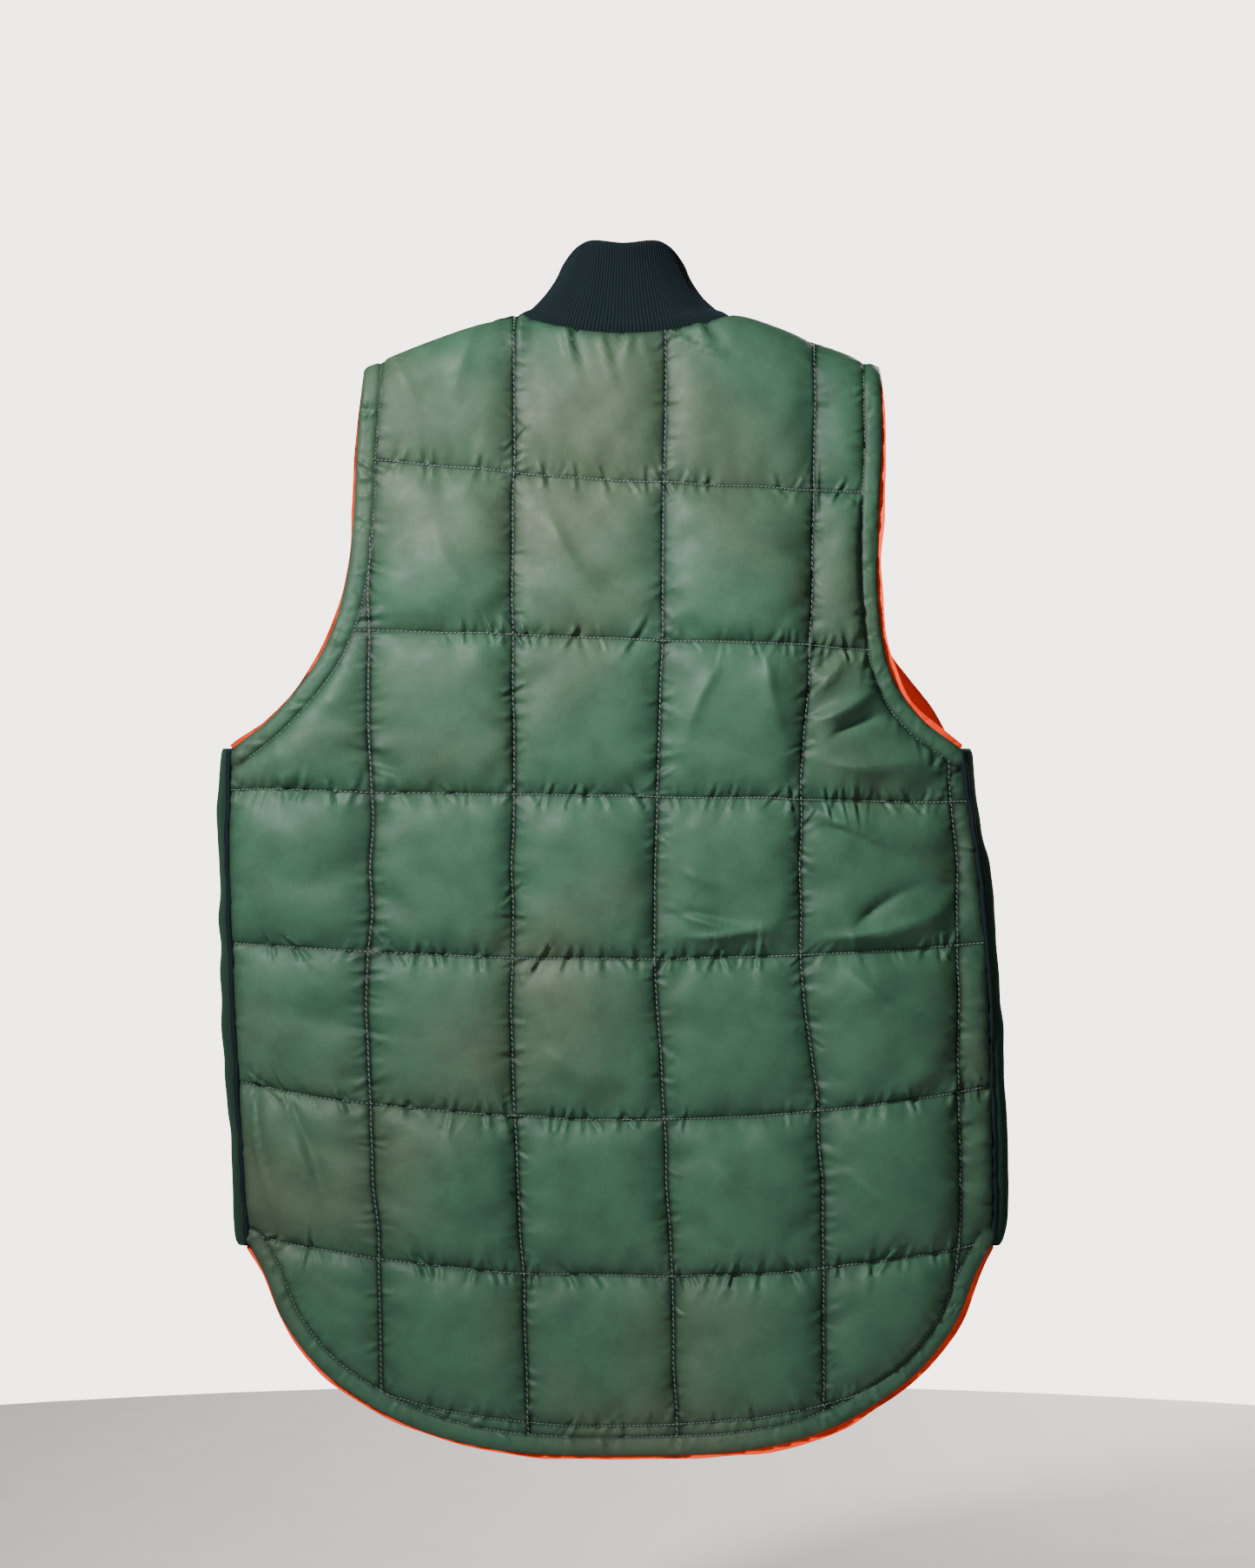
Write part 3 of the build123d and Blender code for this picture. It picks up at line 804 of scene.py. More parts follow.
def stitches(name, seams, thread):
    """Separate stitches along seams; each seam is (places, directions out of the cloth, pitch, slant)."""
    all_verts, all_faces, count = [], [], 0
    for places, normals, pitch, slant in seams:
        if len(places) < 3:
            continue
        along = np.gradient(places, axis=0)
        along /= np.linalg.norm(along, axis=1)[:, None]
        across = np.cross(normals, along)
        across /= np.linalg.norm(across, axis=1)[:, None]
        lean = slant * (1 + 0.3 * rng.normal(size=len(places)))[:, None]
        run = along + across * lean
        run /= np.linalg.norm(run, axis=1)[:, None]
        side = np.cross(normals, run)
        length = pitch * rng.uniform(0.78, 0.92, len(places))[:, None, None]
        verts = (
            places[:, None, :]
            + run[:, None, :] * STITCH_VERTS[None, :, :1] * length
            + side[:, None, :] * STITCH_VERTS[None, :, 1:2] * thread
            + normals[:, None, :] * STITCH_VERTS[None, :, 2:3] * thread * 0.8
        )
        bow = (0.5 - 2 * STITCH_VERTS[:, 0] ** 2)[None, :, None] * thread * 0.5
        verts = verts + normals[:, None, :] * bow
        all_verts.append(verts.reshape(-1, 3))
        for n in range(len(places)):
            base = count + n * len(STITCH_VERTS)
            all_faces += [tuple(base + i for i in face) for face in STITCH_FACES]
        count += len(places) * len(STITCH_VERTS)
    return new_mesh(name, np.vstack(all_verts), all_faces)


def inset_path(path, distance):
    """A clockwise edge moved into its panel."""
    along = np.gradient(path, axis=0)
    inward = np.stack([along[:, 1], -along[:, 0]], -1) / np.linalg.norm(along, axis=1)[:, None]
    return path + inward * distance


def cloth_points(points, lift, face, sign):
    """Places on the shell (sign 1) or the lining (sign -1)."""
    x, v = points[:, 0], points[:, 1]
    return surface(x, v, face, sign * lift + hanging_folds(x, v, face))


class Panel:
    """One quilted panel: its flat mesh, and the shell, lining and stitches made from it."""

    def __init__(self, name, face, outline, quilt, place, pocket=None):
        self.name, self.face, self.quilt, self.place = name, face, quilt, place
        self.edges = Edges(outline)
        self.pocket = Edges([("pocket", path) for path in pocket[:3]]) if pocket else None
        self.mouth = Edges([("mouth", pocket[3])]) if pocket else None
        self.pocket_loop = np.vstack(pocket) if pocket else None
        self.loop = np.vstack([path[:-1] for _, path in outline])
        self.lines = quilt.lines(self.loop, LINE_STEP)
        self.turned = [inset_path(path, BAND_WIDTH) for kind, path in outline if kind == "band"]
        self.turned += [inset_path(path, PLACKET_WIDTH) for kind, path in outline if kind == "zip"]
        lines = [path for _, path in self.lines] + self.turned + (pocket[:3] if pocket else [])
        lines += [smooth_path(fold[:2], LINE_STEP) for fold in quilt.creases]
        self.points, self.faces = flat_mesh(outline, lines, FILL_STEP, BESIDE_LINE)

    def lift(self, points, outside):
        """Lift of this panel's cloth and its painted groove shade; a pocket presses the shell flat."""
        if not self.pocket or not outside:
            return cloth_lift(points, self.edges, self.quilt, outside)
        seam = self.pocket.nearest(points, "pocket")[0]
        lift, groove_shade = cloth_lift(points, self.edges, self.quilt, outside, seam)
        mouth = self.mouth.nearest(points, "mouth")[0]
        pressed = 0.55 * np.exp(-((mouth / 0.014) ** 2))
        under_pocket = np.maximum(pressed, 0.60 * held(seam, POCKET_SEAM))
        pressed = np.where(inside(points, self.pocket_loop), under_pocket, pressed)
        return STITCHED_LIFT + (lift - STITCHED_LIFT) * (1 - pressed), groove_shade

    def cloth(self, outside, material, slot):
        """The shell or the lining, with its flat shape as UVs."""
        points = self.points.copy()
        lift, groove_shade = self.lift(points, outside)
        if not outside:
            band, arc, way_out = self.edges.nearest(points, "band")
            roll = 0.0016 + 0.0013 * uneven(arc, 0.025, 41) + 0.0016 * ease(-points[:, 0] / 0.1)
            below_shoulder = shoulder_height(points[:, 0]) - points[:, 1]
            fade = np.clip(1 - band / 0.006, 0, 1) * ease(below_shoulder / 0.03)
            points = points + way_out * (np.maximum(roll, 0.0003) * fade)[:, None]
        sign = 1 if outside else -1
        verts = cloth_points(points, lift, self.face, sign)
        part = "shell" if outside else "lining"
        faces = facing(verts, self.faces, self.face * sign)
        piece = new_mesh(f"{self.name}_quilted_{part}", verts, faces, self.points)
        # The painted groove shade, stored on the mesh for the nylon material to darken its colour with.
        shade = piece.data.attributes.new("groove", "FLOAT", "POINT")
        shade.data.foreach_set("value", groove_shade.astype(np.float32))
        piece.data.materials.append(material)
        self.place(piece)
        return piece

    def thread(self, outside, material):
        """The stitches that show on one side."""
        rows = [(path, *(COLUMN_STITCH if column else ROW_STITCH)) for column, path in self.lines]
        rows += [(path[3:-3], *EDGE_STITCH) for path in self.turned]
        sign = 1 if outside else -1
        seams = []
        for path, pitch, slant in rows:
            path = resampled(path, pitch)
            if len(path) < 4:
                continue
            keep = self.edges.nearest(path, "band")[0] > BAND_WIDTH * 0.9
            keep = keep & (self.edges.nearest(path, "zip")[0] > PLACKET_WIDTH * 0.9)
            if keep.sum() < 4:
                continue
            path = path[keep]
            normals = outward(path[:, 0], path[:, 1], self.face) * sign
            lift = self.lift(path, outside)[0] + THREAD_LIFT
            seams.append((cloth_points(path, lift, self.face, sign), normals, pitch, slant))
        part = "shell" if outside else "lining"
        piece = stitches(f"{self.name}_{part}_stitches", seams, THREAD_WIDTH)
        piece.data.materials.append(material)
        self.place(piece)
        return piece


def facing(verts, faces, side):
    """Faces wound so that most look to one side, + for +Y."""
    a, b, c = (verts[faces[:, n]] for n in range(3))
    way = np.cross(b - a, c - a)[:, 1].sum()
    return faces if way * side > 0 else faces[:, ::-1]


def grid_faces(rows, columns, ring=False):
    """Quads of a grid of points; a ring closes it along its columns."""
    index = np.arange(rows * columns).reshape(rows, columns)
    if ring:
        index = np.hstack([index, index[:, :1]])
    return np.stack([index[:-1, :-1], index[:-1, 1:], index[1:, 1:], index[1:, :-1]], -1).reshape(-1, 4)


def grid_normals(grid):
    """Directions across a grid of points."""
    across, up = np.gradient(grid, axis=1), np.gradient(grid, axis=0)
    normal = np.cross(across, up)
    return normal / np.maximum(np.linalg.norm(normal, axis=-1, keepdims=True), 1e-12)


def knitted(name, sheet, thickness, wales, courses, material, round_rows):
    """Thick ribbed knit on a grid of middle points.

    Both faces have raised wales that run up the grid, and its first and last rows close round.
    """
    rows, columns = sheet.shape[:2]
    normals = grid_normals(sheet)
    wale = np.linspace(0.0, wales, columns)
    ridge = WALE_HEIGHT * np.abs(np.cos(wale * math.pi)) ** 0.7
    half = thickness[:, None] / 2
    end = np.minimum(np.arange(rows), np.arange(rows)[::-1]) / round_rows
    close = np.sqrt(np.clip(1 - (1 - np.clip(end, 0, 1)) ** 2, 0, 1))[:, None]
    outer = sheet + normals * ((half + ridge[None]) * close)[..., None]
    inner = sheet - normals * ((half + ridge[None]) * close)[..., None]
    verts = np.concatenate([outer.reshape(-1, 3), inner.reshape(-1, 3)])
    front = grid_faces(rows, columns)
    back = front[:, ::-1] + rows * columns
    index = np.arange(rows * columns).reshape(rows, columns)
    rims = []
    for line in (index[0], index[-1][::-1], index[:, -1], index[:, 0][::-1]):
        below = line + rows * columns
        rims.append(np.stack([line[1:], line[:-1], below[:-1], below[1:]], -1))
    course = np.linspace(0.0, courses, rows)
    uv = np.stack(np.meshgrid(wale, course), -1).reshape(-1, 2)
    piece = new_mesh(name, verts, np.vstack([front, back, *rims]), np.vstack([uv, uv]))
    piece.data.materials.append(material)
    return piece


# ---------------------------------------------------------------- materials

class Look:
    """A material, with short calls for its nodes."""

    def __init__(self, name, colour, roughness, **sockets):
        self.material = bpy.data.materials.new(name)
        self.material.use_nodes = True
        self.tree = self.material.node_tree
        self.shader = self.tree.nodes["Principled BSDF"]
        self.shader.inputs["Base Color"].default_value = (*colour, 1.0)
        self.shader.inputs["Roughness"].default_value = roughness
        for socket, value in sockets.items():
            self.shader.inputs[socket.replace("_", " ")].default_value = value

    def node(self, kind, settings=(), **inputs):
        node = self.tree.nodes.new("ShaderNode" + kind)
        for key, value in dict(settings).items():
            setattr(node, key, value)
        for key, value in inputs.items():
            socket = node.inputs[int(key[1:])] if key[0] == "i" and key[1:].isdigit() else node.inputs[key]
            if isinstance(value, bpy.types.NodeSocket):
                self.tree.links.new(value, socket)
            else:
                socket.default_value = value
        return node

    def maths(self, operation, a, b=0.0):
        return self.node("Math", {"operation": operation}, i0=a, i1=b).outputs[0]

    def noise(self, place, scale, detail=2.0):
        return self.node("TexNoise", Vector=place, Scale=scale, Detail=detail).outputs["Fac"]

    def between(self, fac, low, high):
        return self.node("MapRange", {"interpolation_type": "SMOOTHSTEP"}, i0=fac, i1=low, i2=high).outputs[0]

    def rough(self, fac, low, high):
        spread = self.node("MapRange", i0=fac, i1=0.3, i2=0.7, i3=low, i4=high)
        self.set("Roughness", spread.outputs[0])

    def mix(self, fac, a, b):
        mix = self.tree.nodes.new("ShaderNodeMix")
        mix.data_type = "RGBA"
        for number, value in ((0, fac), (6, a), (7, b)):
            if isinstance(value, bpy.types.NodeSocket):
                self.tree.links.new(value, mix.inputs[number])
            else:
                mix.inputs[number].default_value = value if number == 0 else (*value, 1.0)
        return mix.outputs[2]

    def bump(self, height, strength, distance, under=None):
        node = self.node("Bump", Strength=strength, Distance=distance, Height=height)
        if under is not None:
            self.tree.links.new(under, node.inputs["Normal"])
        return node.outputs[0]

    def set(self, socket, value):
        self.tree.links.new(value, self.shader.inputs[socket])

    def flat_cloth(self):
        return self.node("UVMap", {"uv_map": "cloth"}).outputs[0]

    def place(self):
        return self.node("TexCoord").outputs["Object"]


def woven_nylon(name, colour, tint, deep, **sockets):
    """Satin nylon: a fine plain weave, colour that drifts, soft creases, and painted shade in the stitch
    grooves and beside the seams.
    """
    look = Look(name, colour, 0.56, **sockets)
    cloth = look.flat_cloth()
    drift = look.between(look.noise(cloth, 4.5, 3.0), 0.44, 0.66)
    mottle = look.noise(cloth, 45.0, 4.0)
    base = look.mix(drift, colour, tint)
    base = look.mix(look.maths("MULTIPLY", look.between(mottle, 0.40, 0.68), 0.20), base, deep)
    warp = look.node("Mapping", Vector=cloth, Scale=(2600.0, 120.0, 1.0)).outputs[0]
    weft = look.node("Mapping", Vector=cloth, Scale=(120.0, 2600.0, 1.0)).outputs[0]
    threads = look.maths("ADD", look.noise(warp, 1.0, 1.0), look.noise(weft, 1.0, 1.0))
    base = look.mix(look.maths("MULTIPLY", look.between(threads, 0.85, 1.25), 0.16), base, deep)
    # Painted shade: the groove attribute darkens the colour along stitch lines, pillow slopes and seams.
    groove = look.node("Attribute", {"attribute_name": "groove"}).outputs["Fac"]
    base = look.mix(groove, base, deep)
    look.set("Base Color", base)
    crinkle = look.noise(cloth, 110.0, 3.0)
    look.rough(crinkle, 0.52, 0.62)
    soft = look.bump(crinkle, 0.14, 0.0006)
    look.set("Normal", look.bump(threads, 0.30, 0.00012, soft))
    return look.material


def rib_knit(name, colour, groove):
    """Rib knit: stacked V stitches up each wale, painted shade between the wales, with a little fuzz."""
    look = Look(name, colour, 0.90, Sheen_Weight=0.04, Specular_IOR_Level=0.15)
    cloth = look.flat_cloth()
    split = look.node("SeparateXYZ", i0=cloth)
    wale = look.maths("MULTIPLY", split.outputs[0], math.pi)
    ridge = look.maths("ABSOLUTE", look.maths("COSINE", wale))
    lean = look.maths("MULTIPLY", look.maths("PINGPONG", split.outputs[0], 0.5), 1.4)
    course = look.maths("MULTIPLY", look.maths("ADD", split.outputs[1], lean), 2 * math.pi)
    loops = look.maths("SINE", course)
    fuzz = look.noise(cloth, 3.0, 5.0)
    # Painted shade: the groove colour fills the recesses between the wales; the fuzz also darkens towards it
    # at random.
    base = look.mix(look.between(ridge, 0.15, 0.85), groove, colour)
    base = look.mix(look.maths("MULTIPLY", fuzz, 0.35), base, groove)
    look.set("Base Color", base)
    height = look.maths("MULTIPLY", look.maths("ADD", look.maths("MULTIPLY", loops, 0.35), ridge), 0.5)
    look.set("Normal", look.bump(fuzz, 0.3, 0.0004, look.bump(height, 0.7, 0.0006)))
    return look.material


def sewing_thread(name, colour, dark):
    """Twisted polyester thread."""
    look = Look(name, colour, 0.55, Sheen_Weight=0.3)
    place = look.place()
    twist = look.node("TexWave", {"bands_direction": "DIAGONAL"}, Vector=place, Scale=700.0, Distortion=1.0)
    look.set("Base Color", look.mix(look.maths("MULTIPLY", twist.outputs["Fac"], 0.5), colour, dark))
    look.set("Normal", look.bump(twist.outputs["Fac"], 0.5, 0.0003))
    return look.material


def twill_tape(name, colour, dark):
    """Zipper tape: a fine slanted weave."""
    look = Look(name, colour, 0.75, Sheen_Weight=0.2)
    place = look.place()
    weave = look.node("TexWave", {"bands_direction": "DIAGONAL"}, Vector=place, Scale=420.0, Distortion=0.4)
    worn = look.noise(place, 60.0, 4.0)
    look.set("Base Color", look.mix(look.maths("MULTIPLY", weave.outputs["Fac"], 0.6), colour, dark))
    look.rough(worn, 0.65, 0.85)
    look.set("Normal", look.bump(weave.outputs["Fac"], 0.5, 0.0003))
    return look.material


def zipper_brass(name, colour, tarnish):
    """Die-cast brass, tarnished in its hollows and rubbed bright on its high spots."""
    look = Look(name, colour, 0.32, Metallic=1.0)
    place = look.place()
    cloud = look.noise(place, 90.0, 5.0)
    drawn = look.node("Mapping", Vector=place, Scale=(900.0, 900.0, 60.0)).outputs[0]
    scratch = look.noise(drawn, 1.0, 3.0)
    look.set("Base Color", look.mix(look.between(cloud, 0.42, 0.66), colour, tarnish))
    look.rough(scratch, 0.24, 0.46)
    look.set("Normal", look.bump(scratch, 0.25, 0.00008, look.bump(cloud, 0.2, 0.0002)))
    return look.material


# The third colour of each nylon gives its darker random tone and weave, and also the painted shade of its
# grooves.
GREEN = woven_nylon("green_nylon", (0.032, 0.088, 0.052), (0.055, 0.085, 0.053), (0.0022, 0.010, 0.0060),
                    Specular_IOR_Level=0.20)
ORANGE = woven_nylon("orange_nylon", (1.0, 0.055, 0.002), (1.0, 0.080, 0.004), (0.70, 0.020, 0.001),
                     Specular_IOR_Level=0.15)
# The second colour of each rib knit is the painted shade between its wales, and the colour of its darker
# fuzz.
KNIT = rib_knit("rib_knit_teal", (0.0020, 0.0105, 0.0135), (0.0003, 0.0014, 0.0020))
SIDE_KNIT = rib_knit("rib_knit_green", (0.0110, 0.0420, 0.0260), (0.0010, 0.0050, 0.0035))
THREAD = sewing_thread("green_thread", (0.042, 0.105, 0.068), (0.006, 0.022, 0.015))
ORANGE_THREAD = sewing_thread("orange_thread", (0.90, 0.14, 0.03), (0.55, 0.06, 0.01))
TAPE = twill_tape("green_tape", (0.012, 0.035, 0.030), (0.005, 0.015, 0.013))
BRASS = zipper_brass("aged_brass", (0.62, 0.42, 0.16), (0.30, 0.18, 0.07))


# ---------------------------------------------------------------- which way a piece moves

def on_back(piece):
    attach(piece, "back")


def bends_with():
    """Places a piece where it stands, with its transform baked into its mesh."""

    def place(piece):
        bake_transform(piece)

    return place


# ---------------------------------------------------------------- quilted panels

# Columns are (v, x) knots from the wearer's right to the left; rows are (v, tilt, sag) from the top down
BACK_COLUMNS = [
    [(0.10, -0.30), (-0.80, -0.30)],
    [(0.10, -0.232), (-0.30, -0.229), (-0.38, -0.222), (-0.46, -0.217), (-0.62, -0.2155),
     (-0.80, -0.2155)],
    [(0.10, -0.127), (-0.10, -0.1265), (-0.22, -0.1235), (-0.33, -0.1165), (-0.42, -0.1170), (-0.52, -0.1265),
     (-0.80, -0.131)],
    [(0.10, -0.0285), (-0.20, -0.0258), (-0.42, -0.0205), (-0.52, -0.0265), (-0.62, -0.031),
     (-0.80, -0.0375)],
    [(0.10, 0.073), (-0.30, 0.0725), (-0.50, 0.0720), (-0.62, 0.066), (-0.80, 0.060)],
    [(0.10, 0.168), (-0.10, 0.165), (-0.20, 0.160), (-0.32, 0.153), (-0.50, 0.157), (-0.60, 0.155),
     (-0.75, 0.158)],
    [(0.10, 0.30), (-0.80, 0.30)],
]
BACK_ROWS = [
    (0.085, 0.0, 0.0), (-0.1055, 0.060, 0.0), (-0.2105, 0.038, 0.0), (-0.3135, 0.018, 0.0),
    (-0.4205, 0.0, 0.010), (-0.5260, 0.004, 0.022), (-0.6290, 0.010, 0.023), (-0.7275, 0.0, 0.046),
    (-0.86, 0.0, 0.0),
]
FRONT_ROWS = [
    (0.085, 0.0, 0.0), (-0.105, 0.0, 0.002), (-0.210, 0.0, 0.004), (-0.314, 0.0, 0.006),
    (-0.418, 0.0, 0.008), (-0.522, 0.0, 0.012), (-0.622, 0.0, 0.016), (-0.80, 0.0, 0.0),
]


def front_columns(hand):
    """Columns of a front, from the wearer's right to the left."""
    near = [(0.10, hand * 0.114), (-0.35, hand * 0.112), (-0.80, hand * 0.115)]
    far = [(0.10, hand * 0.212), (-0.35, hand * 0.207), (-0.80, hand * 0.209)]
    zipper = [(0.10, hand * 0.005), (-0.80, hand * 0.005)]
    beyond = [(0.10, hand * 0.30), (-0.80, hand * 0.30)]
    columns = [zipper, near, far, beyond]
    return columns if hand > 0 else columns[::-1]


def pocket_paths(hand, inset):
    """The three sewn edges of a hand pocket, and its slanted mouth."""
    slope = (FOLD_LOW[0] - FOLD_TOP[0]) / FOLD_LOW[1]
    mouth_top = FOLD_TOP[0] + slope * POCKET_TOP_Z - POCKET_MOUTH_GAP
    mouth_low = FOLD_TOP[0] + slope * POCKET_BOTTOM_Z - POCKET_MOUTH_GAP
    left, low, top = POCKET_INNER_X + inset, POCKET_BOTTOM_Z + inset, POCKET_TOP_Z - inset
    sides = [[(mouth_low, low), (left, low)], [(left, low), (left, top)], [(left, top), (mouth_top, top)]]
    paths = [smooth_path(side, EDGE_STEP) * (hand, 1.0) for side in sides]
    mouth = smooth_path([(mouth_top, top), (mouth_low, low)], EDGE_STEP) * (hand, 1.0)
    return paths, mouth


def hand_pocket(name, panel, hand):
    """A patch of shell cloth sewn on three sides, standing open along its slanted mouth."""
    sewn, mouth = pocket_paths(hand, 0.0)
    outline = [("sewn", path) for path in sewn] + [("mouth", mouth)]
    stitched = pocket_paths(hand, POCKET_SEAM)[0]
    points, faces = flat_mesh(outline, stitched, FILL_STEP, (0.0,))
    edges = Edges(outline)
    seam, arc, _ = edges.nearest(points, "sewn")
    opening, along, _ = edges.nearest(points, "mouth")
    swell = held(seam - POCKET_SEAM, 0.016) * POCKET_SWELL
    hem = np.exp(-((opening - POCKET_HEM) / 0.0015) ** 2)
    drape = 0.0012 * uneven(along, 0.030, 5) * held(seam, 0.02) * np.exp(-opening / 0.03)
    wave = 0.0008 * puckers(arc, 0.010, 91) * np.exp(-seam / 0.010) * held(seam - POCKET_SEAM, 0.001)
    nip = 0.0010 * np.exp(-((seam - POCKET_SEAM) / 0.0012) ** 2)
    gape = 0.0022 * np.exp(-opening / 0.020) * held(seam, 0.020)
    lift = STITCHED_LIFT + 0.0026 + swell + gape + drape + wave - nip - 0.0008 * hem
    rim = np.minimum(seam, opening)
    thick = POCKET_THICKNESS * np.sqrt(np.clip(1 - (1 - np.clip(rim / 0.0012, 0, 1)) ** 2, 0, 1))
    top = cloth_points(points, lift, FRONT, 1)
    under = cloth_points(points, lift - thick - 0.0001, FRONT, 1)
    ordered = facing(top, faces, FRONT)
    count = len(points)
    loop = np.vstack([path[:-1] for _, path in outline])
    tree = flat_tree(points)
    rim_index = nearest_in(tree, loop)
    sides = [(a, b, b + count, a + count) for a, b in zip(rim_index, np.roll(rim_index, -1))]
    verts = np.vstack([top, under])
    all_faces = [*ordered, *(ordered[:, ::-1] + count), *sides]
    piece = new_mesh(name, verts, all_faces, np.vstack([points, points]))
    piece.data.materials.append(GREEN)
    panel.place(piece)
    rows = [path[2:-2] for path in stitched]
    rows.append(mouth[4:-4] - (hand * POCKET_HEM, 0.0))
    seams = []
    for row in rows:
        row = resampled(row, EDGE_STITCH[0])
        places = cloth_points(row, lift[nearest_in(tree, row)] + THREAD_LIFT, FRONT, 1)
        seams.append((places, outward(row[:, 0], row[:, 1], FRONT), *EDGE_STITCH))
    thread = stitches(f"{name}_stitches", seams, THREAD_WIDTH)
    thread.data.materials.append(THREAD)
    panel.place(thread)
    return piece


back = Panel("back", BACK, back_outline(EDGE_STEP), Quilt(BACK_COLUMNS, BACK_ROWS, BACK_CREASES, 1), on_back)
back_shell = back.cloth(True, GREEN, "green_nylon")
back_lining = back.cloth(False, ORANGE, "orange_nylon")
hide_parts("back_shell", "back_batting")
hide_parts("back_lining")
back.thread(True, THREAD)
back.thread(False, ORANGE_THREAD)

fronts = {}
for hand, side in ((1, "left"), (-1, "right")):
    folds = [((hand * a, b), (hand * c, d), high, wide) for (a, b), (c, d), high, wide in FRONT_CREASES]
    quilt = Quilt(front_columns(hand), FRONT_ROWS, folds, 20 + hand)
    sewn, mouth = pocket_paths(hand, POCKET_SEAM)
    outline = front_outline(EDGE_STEP, hand)
    front = Panel(f"front_{side}", FRONT, outline, quilt, bends_with(), [*sewn, mouth])
    shell = front.cloth(True, GREEN, "green_nylon")
    lining = front.cloth(False, ORANGE, "orange_nylon")
    for part, piece in (("shell", shell), ("lining", lining)):
        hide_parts(f"front_{side}_side_{part}", f"front_{side}_flap_{part}")
    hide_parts(f"front_{side}_side_batting", f"front_{side}_flap_batting")
    front.thread(True, THREAD)
    front.thread(False, ORANGE_THREAD)
    pocket = hand_pocket(f"hand_pocket_{side}", front, hand)
    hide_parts(f"pocket_{side}")
    fronts[side] = (shell, lining, pocket)


# ---------------------------------------------------------------- collar and side ribs

COLLAR_BASE = [
    (0.0, 0.0243, -0.007), (0.040, 0.022, -0.0035), (0.062, 0.012, 0.0015), (0.068, 0.0, 0.0035),
    (0.067, -0.020, -0.009), (0.061, -0.0253, -0.026), (0.042, -0.0268, -0.055), (0.017, -0.0276, -0.073),
]
COLLAR_TOP = [
    (0.0, 0.014, 0.055), (0.024, 0.007, 0.057), (0.037, -0.011, 0.047), (0.045, -0.038, 0.030),
    (0.053, -0.062, 0.010), (0.054, -0.072, -0.008), (0.041, -0.076, -0.038), (0.027, -0.068, -0.055),
]


def collar_line(knots, at):
    """Places along one edge of the collar; 0 is the middle of the back and + is the wearer's left."""
    whole = [(-x, y, z) for x, y, z in reversed(knots[1:])] + knots
    numbers = np.arange(len(whole)) - (len(knots) - 1)
    return np.stack([smooth_at(at, list(zip(numbers, [p[axis] for p in whole]))) for axis in range(3)], -1)


def neck_line(inset):
    """The whole neckline on the panels, from the right front edge round the back to the left front edge."""
    front_path = dict(front_outline(EDGE_STEP, 1))["neck"][::-1]
    back_path = dict(back_outline(EDGE_STEP))["neck"]
    left = cloth_row(inset_path(front_path, -inset), FRONT)
    right = left * (-1.0, 1.0, 1.0)
    rear = cloth_row(inset_path(back_path, inset), BACK)
    return np.vstack([right[::-1], rear, left])


def cloth_row(path, face):
    """Places in the middle of the padding along a flat path."""
    return middle(path[:, 0], path[:, 1], face)


def nearest_along(line, places):
    """For each place the nearest point of a line, never going back along it."""
    distance = np.linalg.norm(places[:, None] - line[None], axis=2)
    index = np.maximum.accumulate(distance.argmin(1))
    even = np.convolve(np.pad(index, 12, mode="edge"), np.ones(25) / 25, mode="valid")
    return np.stack([np.interp(even, np.arange(len(line)), line[:, axis]) for axis in range(3)], -1)


def collar_part(name, first, last, wales):
    """A stretch of the knitted collar, tucked into the neck seam and rounded over at the top."""
    at = np.linspace(first, last, wales * 4 + 1)
    base, top = collar_line(COLLAR_BASE, at), collar_line(COLLAR_TOP, at)
    seam, tucked = (nearest_along(neck_line(inset), base) for inset in (0.0, COLLAR_TUCK))
    up = np.linspace(-0.09, 1.0, 64)[:, None, None]
    leave = ease(up / 0.22)
    base = seam[None] * (1 - leave) + base[None] * leave + (tucked - seam)[None] * np.clip(-up / 0.09, 0, 1)
    gathered = 0.0007 * uneven(at, 0.35, 77)
    rising = np.clip(up, 0, 1)
    flat = base[..., :2] + (top[None] - base)[..., :2] * (1 - (1 - rising) ** 1.45)
    high = base[..., 2:] + (top[None] - base)[..., 2:] * rising
    sheet = np.concatenate([flat, high], -1)
    ripple = gathered[None] * np.sin(rising[:, :, 0] * math.pi)
    sheet = sheet + grid_normals(sheet) * ripple[..., None]
    thickness = 0.0006 + 0.0034 * ease((up[:, 0, 0] + 0.05) / 0.16)
    return knitted(name, sheet, thickness, wales, COLLAR_COURSES, KNIT, 5)


def side_rib(side, hand):
    """Knitted side panel, bowed out between the back and the front."""
    v = np.linspace(RIB_BOTTOM_Z, RIB_TOP_Z, 130)
    edge_x = np.full_like(v, hand * SIDE_X)
    rear, fore = surface(edge_x, v, BACK, 0 * v), surface(edge_x, v, FRONT, 0 * v)
    angle = np.linspace(0.0, math.pi, RIB_WALES * 4 + 1)
    reach = RIB_REACH * (0.55 + 0.16 * uneven(v, 0.045, 61 + hand) + 0.10 * uneven(v, 0.018, 63 + hand))
    pull = 0.0020 * uneven(v, 0.060, 65 + hand)
    middle_line, half = (rear + fore) / 2, (rear - fore) / 2
    sheet = middle_line[:, None] + half[:, None] * np.cos(angle)[None, :, None]
    bow = reach[:, None] * np.sin(angle)[None] ** 0.8
    sheet[..., 0] += hand * (bow + pull[:, None] * np.sin(2 * angle)[None])
    if hand > 0:
        sheet = sheet[:, ::-1]
    thickness = np.full(len(v), RIB_THICKNESS)
    return knitted(f"side_rib_knit_{side}", sheet, thickness, RIB_WALES, RIB_COURSES, SIDE_KNIT, 4)


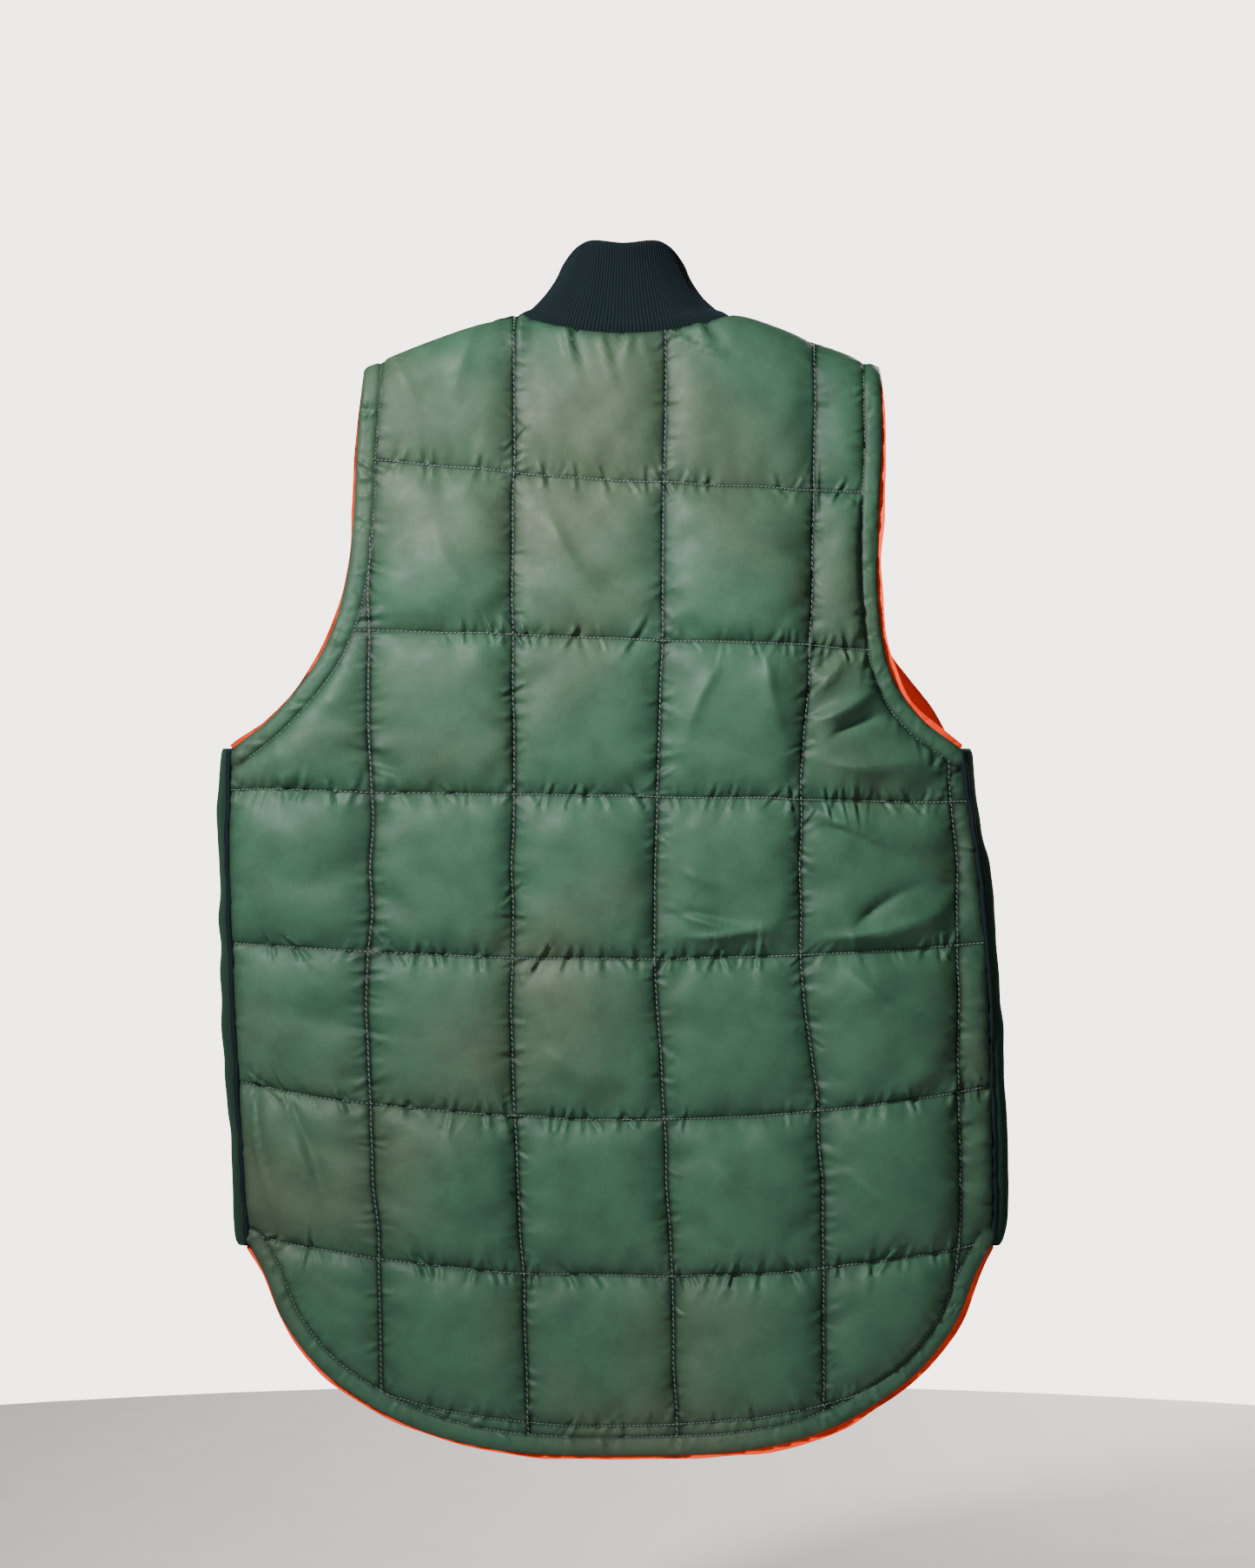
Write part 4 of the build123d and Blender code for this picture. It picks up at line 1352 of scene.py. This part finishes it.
def rolled_seam(name, face, hand, radius):
    """The narrow rolled seam where a quilted panel meets a side rib."""
    v = np.linspace(RIB_BOTTOM_Z + 0.002, RIB_TOP_Z - 0.001, 200)
    wavy = 0.0006 * uneven(v, 0.012, 71 + face + hand)
    x = hand * (SIDE_X + 0.0008 + wavy)
    centre = surface(x, v, face, 0.0012 + 0 * v)
    angle = np.linspace(0, 2 * math.pi, SEAM_SIDES + 1)[:-1]
    size = radius * (1 + 0.15 * uneven(v, 0.009, 73 + face + hand))
    ring = np.stack([np.cos(angle), np.sin(angle), 0 * angle], -1)
    verts = centre[:, None] + ring[None] * size[:, None, None]
    count = len(v) * SEAM_SIDES
    ends = [tuple(range(SEAM_SIDES))[::-1], tuple(range(count - SEAM_SIDES, count))]
    faces = [*grid_faces(len(v), SEAM_SIDES, ring=True), *ends]
    uv = np.stack(np.meshgrid(np.arange(SEAM_SIDES) / 3, v / 0.0012), -1).reshape(-1, 2)
    piece = new_mesh(name, verts.reshape(-1, 3), faces, uv)
    piece.data.materials.append(KNIT)
    on_back(piece)
    return piece


collar_back = collar_part("collar_knit_back", -3.0, 3.0, COLLAR_WALES["back"])
on_back(collar_back)
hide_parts("collar")
collar_left = collar_part("collar_knit_left", 3.0, 7.0, COLLAR_WALES["left"])
bends_with()(collar_left)
collar_right = collar_part("collar_knit_right", -7.0, -3.0, COLLAR_WALES["right"])
bends_with()(collar_right)
for hand, side in ((1, "left"), (-1, "right")):
    rib = side_rib(side, hand)
    on_back(rib)
    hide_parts(f"side_rib_{side}")
    rolled_seam(f"side_seam_back_{side}", BACK, hand, 0.0022)
    rolled_seam(f"side_seam_front_{side}", FRONT, hand, 0.0020)


# ---------------------------------------------------------------- zipper

for name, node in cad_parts.items():
    if name.startswith("zipper_"):
        material = TAPE if "tape" in name else BRASS
        node.data.materials.clear()
        node.data.materials.append(material)


# ---------------------------------------------------------------- the front pieces, unpacked (nothing more is done with them)

for side in ("left", "right"):
    shell, lining, pocket = fronts[side]


# ---------------------------------------------------------------- stage, light and camera

def area_light(name, place, towards, size, power, colour, spread=180.0):
    light = bpy.data.lights.new(name, "AREA")
    light.spread = math.radians(spread)
    light.shape = "DISK"
    light.size = size
    light.energy = power
    light.color = colour
    lamp = bpy.data.objects.new(name, light)
    lamp.location = place
    lamp.rotation_euler = (Vector(towards) - Vector(place)).to_track_quat("-Z", "Y").to_euler()
    bpy.context.scene.collection.objects.link(lamp)


floor_look = Look("studio_floor", (0.90, 0.86, 0.84), 0.7)
speckle = floor_look.noise(floor_look.place(), 30.0, 4.0)
floor_look.rough(speckle, 0.6, 0.8)
rim = np.linspace(0.0, 2 * math.pi, 97)[:-1]
disc = np.stack([FLOOR_RADIUS * np.cos(rim), FLOOR_RADIUS * np.sin(rim), 0 * rim + FLOOR_Z], -1)
floor = new_mesh("floor", disc, [range(len(disc))])
floor.data.materials.append(floor_look.material)

world = bpy.data.worlds.new("pale_studio")
world.use_nodes = True
sky = world.node_tree
background = sky.nodes["Background"]
background.inputs["Color"].default_value = (1.0, 0.90, 0.84, 1.0)
seen = sky.nodes.new("ShaderNodeLightPath")
strength = sky.nodes.new("ShaderNodeMapRange")
strength.inputs["To Min"].default_value = WORLD_LIGHT
strength.inputs["To Max"].default_value = WORLD_SEEN
sky.links.new(seen.outputs["Is Camera Ray"], strength.inputs["Value"])
sky.links.new(strength.outputs[0], background.inputs["Strength"])
bpy.context.scene.world = world

target = (0.0, 0.0, -0.33)
area_light("key", (1.00, 1.30, 0.75), (-0.05, 0.0, -0.20), 0.30, 13.5, (1.0, 0.985, 0.96), spread=66.0)
area_light("near_fill", (-0.30, 2.30, -0.10), target, 1.0, 9.0, (1.0, 0.99, 0.98))
area_light("far_fill", (-1.2, -2.2, 0.6), target, 1.2, 75.0, (1.0, 0.99, 0.98))

camera = bpy.data.cameras.new("camera")
camera.sensor_fit = "VERTICAL"
camera.sensor_height = 24.0
camera.lens = 60.7
eye = bpy.data.objects.new("camera", camera)
eye.location = (-0.0026, 2.655, -0.3057)
eye.rotation_euler = (math.pi / 2, 0.0, math.pi)
bpy.context.scene.collection.objects.link(eye)
bpy.context.scene.camera = eye
